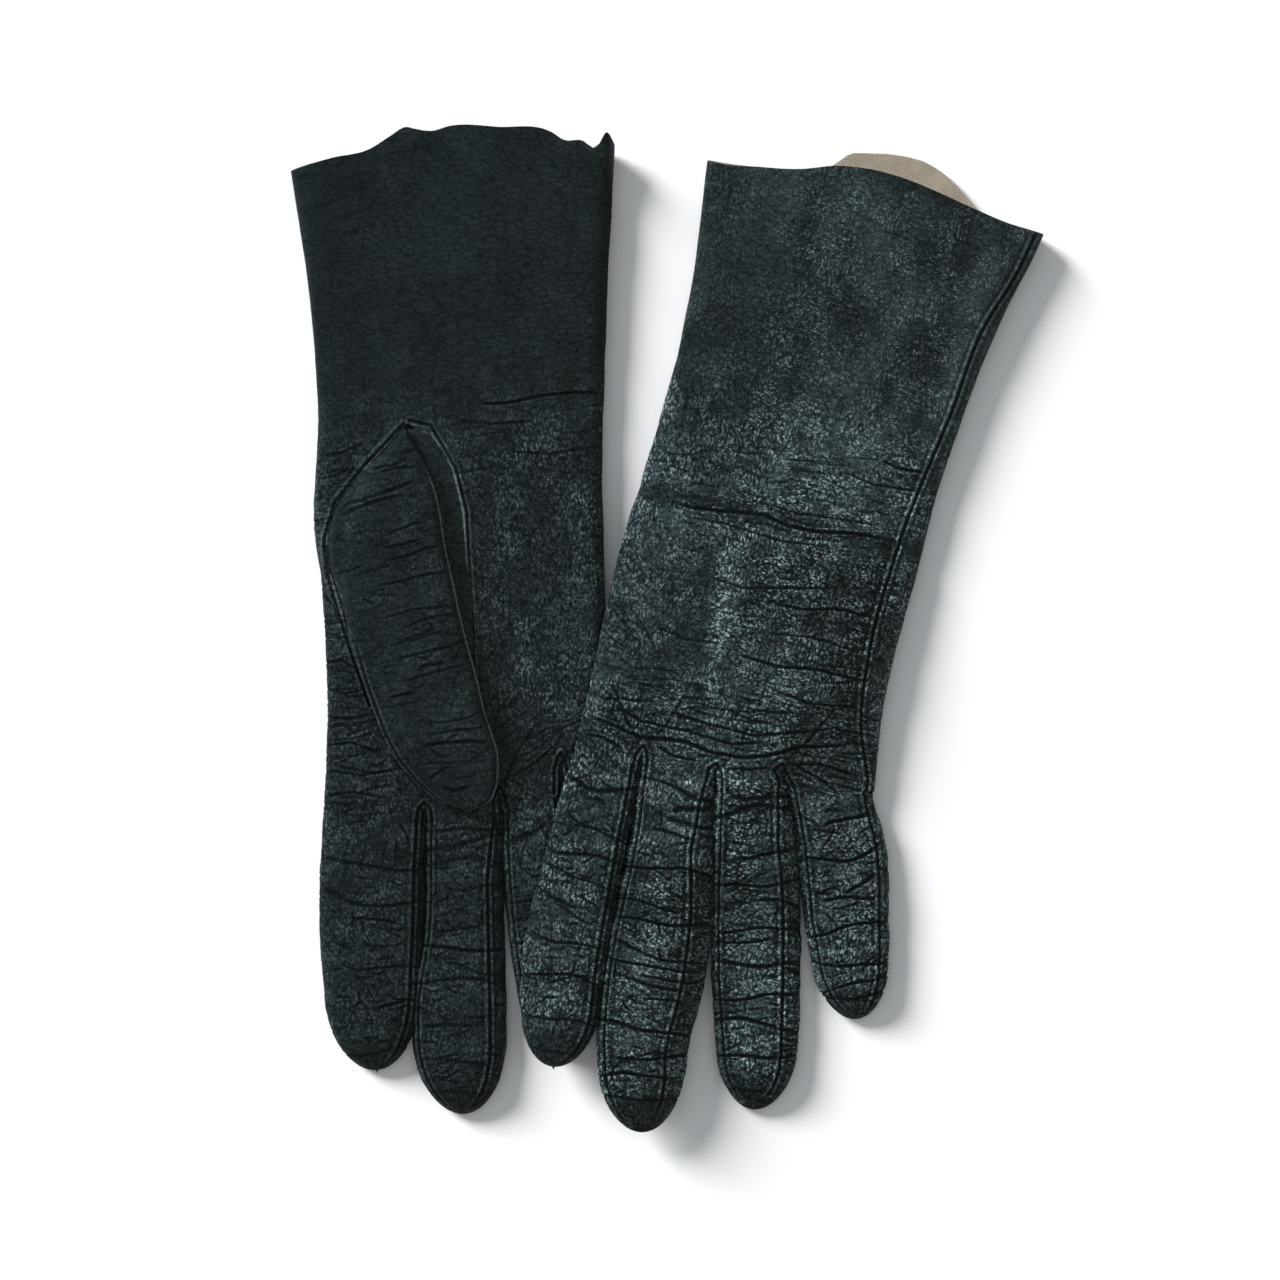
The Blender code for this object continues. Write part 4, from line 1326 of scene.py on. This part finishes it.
def leather_tint(n, hide, wear_and_shine, rest, crest, dark):
    """The hide's colour: nearly black, with painted sheen, glints and crest highlights, a pale line along
    the thumb's free edge, and painted shade in its hollows.
    """
    patches = n.ramp(n.noise(rest, 0.06, 3.0), 0.35, 0.68)
    tint = n.mix(patches, (0.0030, 0.0056, 0.0068, 1), (0.0066, 0.0116, 0.0134, 1))
    layers = (
        # painted sheen: broad soft light patches
        (n.math("MULTIPLY", wear_and_shine.sheen, 0.5), (0.068, 0.104, 0.108, 1)),
        # painted glints on the pebble tops
        (wear_and_shine.raised, (0.27, 0.37, 0.38, 1)),
        # painted highlight on the crests of folds and bulges
        (n.math("MULTIPLY", n.ramp(crest, 0.02, 0.20), 0.30), (0.045, 0.062, 0.068, 1)),
        # a pale line where crest is highest, along the thumb's free edge
        (n.ramp(crest, 0.5, 1.0), (0.13, 0.155, 0.16, 1)),
        # painted shade in the pits between the pebbles
        (hide.pits, (0.0012, 0.0022, 0.0027, 1)),
        # painted shade in the net of fine lines
        (n.math("MULTIPLY", hide.line, 0.75), (0.0015, 0.0024, 0.0028, 1)),
        # painted shade in the creases and seam grooves
        (n.math("MULTIPLY", dark, 0.92, clamp=True), (0.0008, 0.0012, 0.0014, 1)),
    )
    for share, colour in layers:
        tint = n.mix(share, tint, colour)
    return tint


def leather_rough(n, hide, wear_and_shine, dark):
    """The hide's roughness: low on polished pebble tops, high in lines, pits and dark creases."""
    shine = n.math("MULTIPLY", wear_and_shine.top, n.ramp(wear_and_shine.polish, 0.0, 1.0, 0.25, 1.0))
    rough = n.ramp(shine, 0.0, 1.0, 0.70, 0.30)
    rough = n.math("ADD", rough, n.math("MULTIPLY", hide.line, 0.2))
    rough = n.math("ADD", rough, n.math("MULTIPLY", hide.pits, 0.2))
    return n.math("ADD", rough, n.math("MULTIPLY", dark, 0.35), clamp=True)


def leather_height(n, hide, grain):
    """The hide's finest relief: wrinkles, with pebbles, small cells and lines pressed in."""
    wrinkles, pebbles = n.math("MULTIPLY", hide.wrinkles, 1.6), n.math("MULTIPLY", hide.pebbles, 0.55)
    height = n.math("SUBTRACT", wrinkles, pebbles)
    height = n.math("MULTIPLY", height, n.ramp(grain, 0.0, 1.0, 0.25, 1.0))
    height = n.math("SUBTRACT", height, n.math("MULTIPLY", hide.small, 0.16))
    return n.math("SUBTRACT", height, n.math("MULTIPLY", hide.line, 0.35))


def leather_material():
    """Dark, slightly green-blue hide, polished where it is worn, with painted glints, sheen and shade in
    its colour.
    """
    n = Nodes("dark_glove_leather")
    rest = n.attribute("rest", "Vector")
    crest, dark, grain = n.attribute("crest"), n.attribute("dark"), n.attribute("grain")
    hide = leather_grain(n, rest, grain)
    wear_and_shine = leather_wear_and_shine(n, hide, rest, crest, grain)
    n.put(n.shader.inputs["Base Color"], leather_tint(n, hide, wear_and_shine, rest, crest, dark))
    n.put(n.shader.inputs["Roughness"], leather_rough(n, hide, wear_and_shine, dark))
    n.shader.inputs["Specular IOR Level"].default_value = 0.36
    n.put(n.shader.inputs["Normal"], n.bump(leather_height(n, hide, grain), 0.00017, 1.0))
    return n.material


def suede_material():
    """The hide's flesh side: tan, soft and fibrous."""
    n = Nodes("tan_flesh_side")
    rest = n.attribute("rest", "Vector")
    fibres = n.noise(rest, 1.6, 5.0, 0.7)
    patches = n.noise(rest, 0.12, 2.0)
    tint = n.mix(n.ramp(patches, 0.35, 0.65), (0.27, 0.235, 0.175, 1), (0.36, 0.32, 0.25, 1))
    tint = n.mix(n.ramp(fibres, 0.35, 0.65, 0.0, 0.5), tint, (0.20, 0.165, 0.12, 1))
    n.put(n.shader.inputs["Base Color"], tint)
    n.shader.inputs["Roughness"].default_value = 0.9
    n.shader.inputs["Sheen Weight"].default_value = 0.3
    n.put(n.shader.inputs["Normal"], n.bump(fibres, 0.0002, 0.8))
    return n.material


def edge_material():
    """The cut edge of the hide: brown at the core, stained dark."""
    n = Nodes("cut_hide_edge")
    rest = n.attribute("rest", "Vector")
    fibres = n.noise(rest, 2.2, 4.0, 0.7)
    tint = n.mix(n.ramp(fibres, 0.35, 0.65), (0.045, 0.040, 0.032, 1), (0.12, 0.10, 0.075, 1))
    n.put(n.shader.inputs["Base Color"], tint)
    n.shader.inputs["Roughness"].default_value = 0.85
    n.put(n.shader.inputs["Normal"], n.bump(fibres, 0.0001, 0.7))
    return n.material


def thread_material():
    """Waxed black sewing thread with its twist."""
    n = Nodes("dark_sewing_thread")
    place = n.add("ShaderNodeTexCoord").outputs["Object"]
    twist = n.add("ShaderNodeTexWave", {"bands_direction": "DIAGONAL"}, Vector=place, Scale=900.0)
    twist = twist.outputs["Fac"]
    n.put(n.shader.inputs["Base Color"], n.mix(twist, (0.006, 0.008, 0.009, 1), (0.020, 0.026, 0.028, 1)))
    n.shader.inputs["Roughness"].default_value = 0.55
    n.put(n.shader.inputs["Normal"], n.bump(twist, 0.00004, 0.6))
    return n.material


def floor_material():
    """Plain pale matt floor."""
    n = Nodes("pale_floor")
    n.shader.inputs["Base Color"].default_value = (0.86, 0.865, 0.87, 1)
    n.shader.inputs["Roughness"].default_value = 0.9
    n.shader.inputs["Specular IOR Level"].default_value = 0.1
    return n.material


LEATHER, SUEDE, EDGE, THREAD = leather_material(), suede_material(), edge_material(), thread_material()


# ---------------------------------------------------------------- the gloves' pieces


def hide(piece, node):
    """Gives a panel its materials and lets it stand for a node of the frame."""
    for material in (LEATHER, SUEDE, EDGE):
        piece.data.materials.append(material)
    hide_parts(node)


def make_finger(glove, index, hand):
    """A finger's strips, fourchettes and rows of stitches."""
    name = glove.fingers[index]["name"]
    tube = finger_tube(glove, index, hand)
    around = tube.points.shape[1]
    upper_left, upper_right, lower_right, lower_left = tube.columns
    upper, lower = ("palm_strip", "back_strip") if glove.palm_up else ("back_strip", "palm_strip")
    cuts = {
        f"{name}_{upper}": (upper_left, upper_right),
        f"{name}_{lower}": (lower_right, lower_left),
    }
    if index < 3:
        cuts[f"{name}_fourchette_little_side"] = (upper_right, lower_right)
    else:
        cuts[f"{name}_{lower}"] = (upper_right, lower_left)
    if index > 0:
        cuts[f"{name}_fourchette_thumb_side"] = (lower_left, around + upper_left)
    rows = (0, len(tube.points) - 1)
    for node, columns in cuts.items():
        node = f"{glove.name}_{node}"
        piece = panel(f"{node}_leather", tube, rows, columns)
        hide(piece, node)
        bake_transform(piece)
    sewn = [(upper_left, 0.95, "thumb_side")] * (index > 0)
    sewn += [(upper_right, -0.95, "little_side")] * (index < 3 or glove is LEFT)
    last = int(0.965 * rows[1])
    for column, inset, side in sewn:
        path, normals = stitch_path(tube, (2, last), column, inset)
        row = stitches(f"{glove.name}_{name}_stitches_{side}", glove, path, normals)
        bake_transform(row)


def make_hand_and_cuff(glove):
    """The hand's and cuff's leather and the stitches along their side seam."""
    tube = hand_tube(glove)
    around = tube.points.shape[1]
    side = tube.side_column if glove is LEFT else tube.last_upper
    upper, lower = ("palm", "back") if glove.palm_up else ("back", "palm")
    wrist, last = tube.wrist_row, len(tube.points) - 1
    for face, columns in ((upper, (0, side)), (lower, (side, around))):
        piece = panel(f"{glove.name}_hand_{face}_leather", tube, (0, wrist), columns, flesh=True)
        hide(piece, f"{glove.name}_hand_{face}")
        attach(piece, f"{glove.name}_hand")
        name = f"{glove.name}_cuff_{face}_leather"
        piece = panel(name, tube, (wrist, last), columns, flesh=True, rim=True)
        hide(piece, f"{glove.name}_cuff_{face}")
        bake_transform(piece)
    for part, rows in (("hand", (22, wrist)), ("cuff", (wrist, last - 3))):
        path, normals = stitch_path(tube, rows, side, -0.95)
        thread = stitches(f"{glove.name}_{part}_side_seam_thread", glove, path, normals)
        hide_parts(f"{glove.name}_{part}_side_seam")
        if part == "hand":
            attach(thread, f"{glove.name}_hand")
        else:
            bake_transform(thread)
    make_crotch_stitches(glove, tube)
    return tube


def make_crotch_stitches(glove, tube):
    """The fourchettes' stitches where they run up into the hand between the fingers."""
    upper = tube.points[:, : tube.last_upper + 1]
    normals = tube.normals[:, : tube.last_upper + 1]
    for number, line in enumerate(crotch_lines(glove)):
        flat, ahead = path_through(line, np.linspace(0, 1, 30))
        away = np.stack([-ahead[:, 1], ahead[:, 0]], -1) * (1 if number % 2 == 0 else -1) * 0.95
        flat = flat + away
        gaps = [((upper[:60, :, :2] - spot) ** 2).sum(-1) for spot in flat]
        nearest = [np.unravel_index(gap.argmin(), upper.shape[:2]) for gap in gaps]
        heights = np.array([upper[spot][2] for spot in nearest])
        ups = np.array([normals[spot] for spot in nearest])
        path = np.column_stack([flat, heights - 0.1])
        row = stitches(f"{glove.name}_crotch_stitches_{number + 1}", glove, path, ups)
        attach(row, f"{glove.name}_hand")


def make_thumb(glove):
    """The thumb's two halves and the patch in the hole behind it."""
    tube = thumb_tube(glove)
    around = tube.points.shape[1]
    upper, lower = ("outer", "inner") if glove.palm_up else ("inner", "outer")
    (au, av), (bu, bv) = THUMB_AXIS
    along = np.array([bu - au, bv - av]) / math.hypot(bu - au, bv - av)
    away = np.array([-along[1], along[0]])
    away = away if away[0] > 0 else -away
    rows = (0, len(tube.points) - 1)
    for half, columns in ((upper, (0, tube.last_upper)), (lower, (tube.last_upper, around))):
        node = f"{glove.name}_thumb_{half}_half"
        piece = panel(f"{node}_leather", tube, rows, columns)
        hide(piece, node)
        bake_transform(piece)
    gusset = gusset_sheet(glove)
    rows, columns = [(0, count - 1) for count in gusset.points.shape[:2]]
    piece = panel(f"{glove.name}_thumb_gusset_leather", gusset, rows, columns)
    hide(piece, f"{glove.name}_thumb_gusset")
    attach(piece, f"{glove.name}_hand")


# ---------------------------------------------------------------- floor, light and camera


def shine_light(name, place, aim, size, power):
    """A panel of light that only shows as shine."""
    data = bpy.data.lights.new(name, "AREA")
    data.shape = "RECTANGLE"
    data.size, data.size_y = size
    data.energy = power
    data.color = (0.82, 1.0, 1.0)
    light = placed(name, data)
    light.location = place
    direction = Vector(aim) - Vector(place)
    light.rotation_euler = direction.to_track_quat("-Z", "Y").to_euler()
    light.visible_diffuse = False


def make_floor():
    """A wide flat floor under the gloves."""
    mesh = bpy.data.meshes.new("floor")
    size = 3.0
    corners = [(-size, -size, 0), (size, -size, 0), (size, size, 0), (-size, size, 0)]
    mesh.from_pydata(corners, [], [(0, 1, 2, 3)])
    floor = placed("floor", mesh)
    mesh.materials.append(floor_material())


CAMERA_HEIGHT = 1.05  # metres above the floor
FIELD = 0.384  # metres that the picture spans at the gloves' upper faces
UPPER_FACES = 0.006  # about how high those faces are, in metres
SENSOR = 36


def make_camera():
    """A camera straight above the gloves."""
    data = bpy.data.cameras.new("camera")
    data.sensor_width = SENSOR
    data.lens = SENSOR * (CAMERA_HEIGHT - UPPER_FACES) / FIELD
    camera = placed("camera", data)
    camera.location = (-0.0087, -0.00285, CAMERA_HEIGHT)
    bpy.context.scene.camera = camera


def make_light():
    """A low, wide sun for the floor's soft shadows, and overhead panels for the leather's shine."""
    room = bpy.data.worlds.new("room")
    bpy.context.scene.world = room
    room.use_nodes = True
    background = room.node_tree.nodes["Background"]
    background.inputs["Color"].default_value = (0.95, 0.98, 1.0, 1)
    background.inputs["Strength"].default_value = 0.42
    room.cycles_visibility.glossy = False
    data = bpy.data.lights.new("window", "SUN")
    data.energy = 8.8
    data.angle = math.radians(24)
    sun = placed("window", data)
    sun.rotation_euler = Vector((22, -18, -9.5)).to_track_quat("-Z", "Y").to_euler()
    sun.visible_glossy = False
    shine_light("ceiling", (0.1, 0.2, 1.6), (0, 0, 0), (1.6, 1.6), 0.3)
    shine_light("lamp", (0.17, 0.02, 1.25), (0.06, 0, 0), (0.12, 0.16), 5.6)
    shine_light("side", (-0.7, 0.5, 0.7), (0, 0, 0), (0.5, 0.5), 0.35)
    bpy.context.scene.view_settings.view_transform = "Standard"


for one in GLOVES:
    joined = make_hand_and_cuff(one)
    for number in range(4):
        make_finger(one, number, joined)
    make_thumb(one)
make_floor()
make_light()
make_camera()
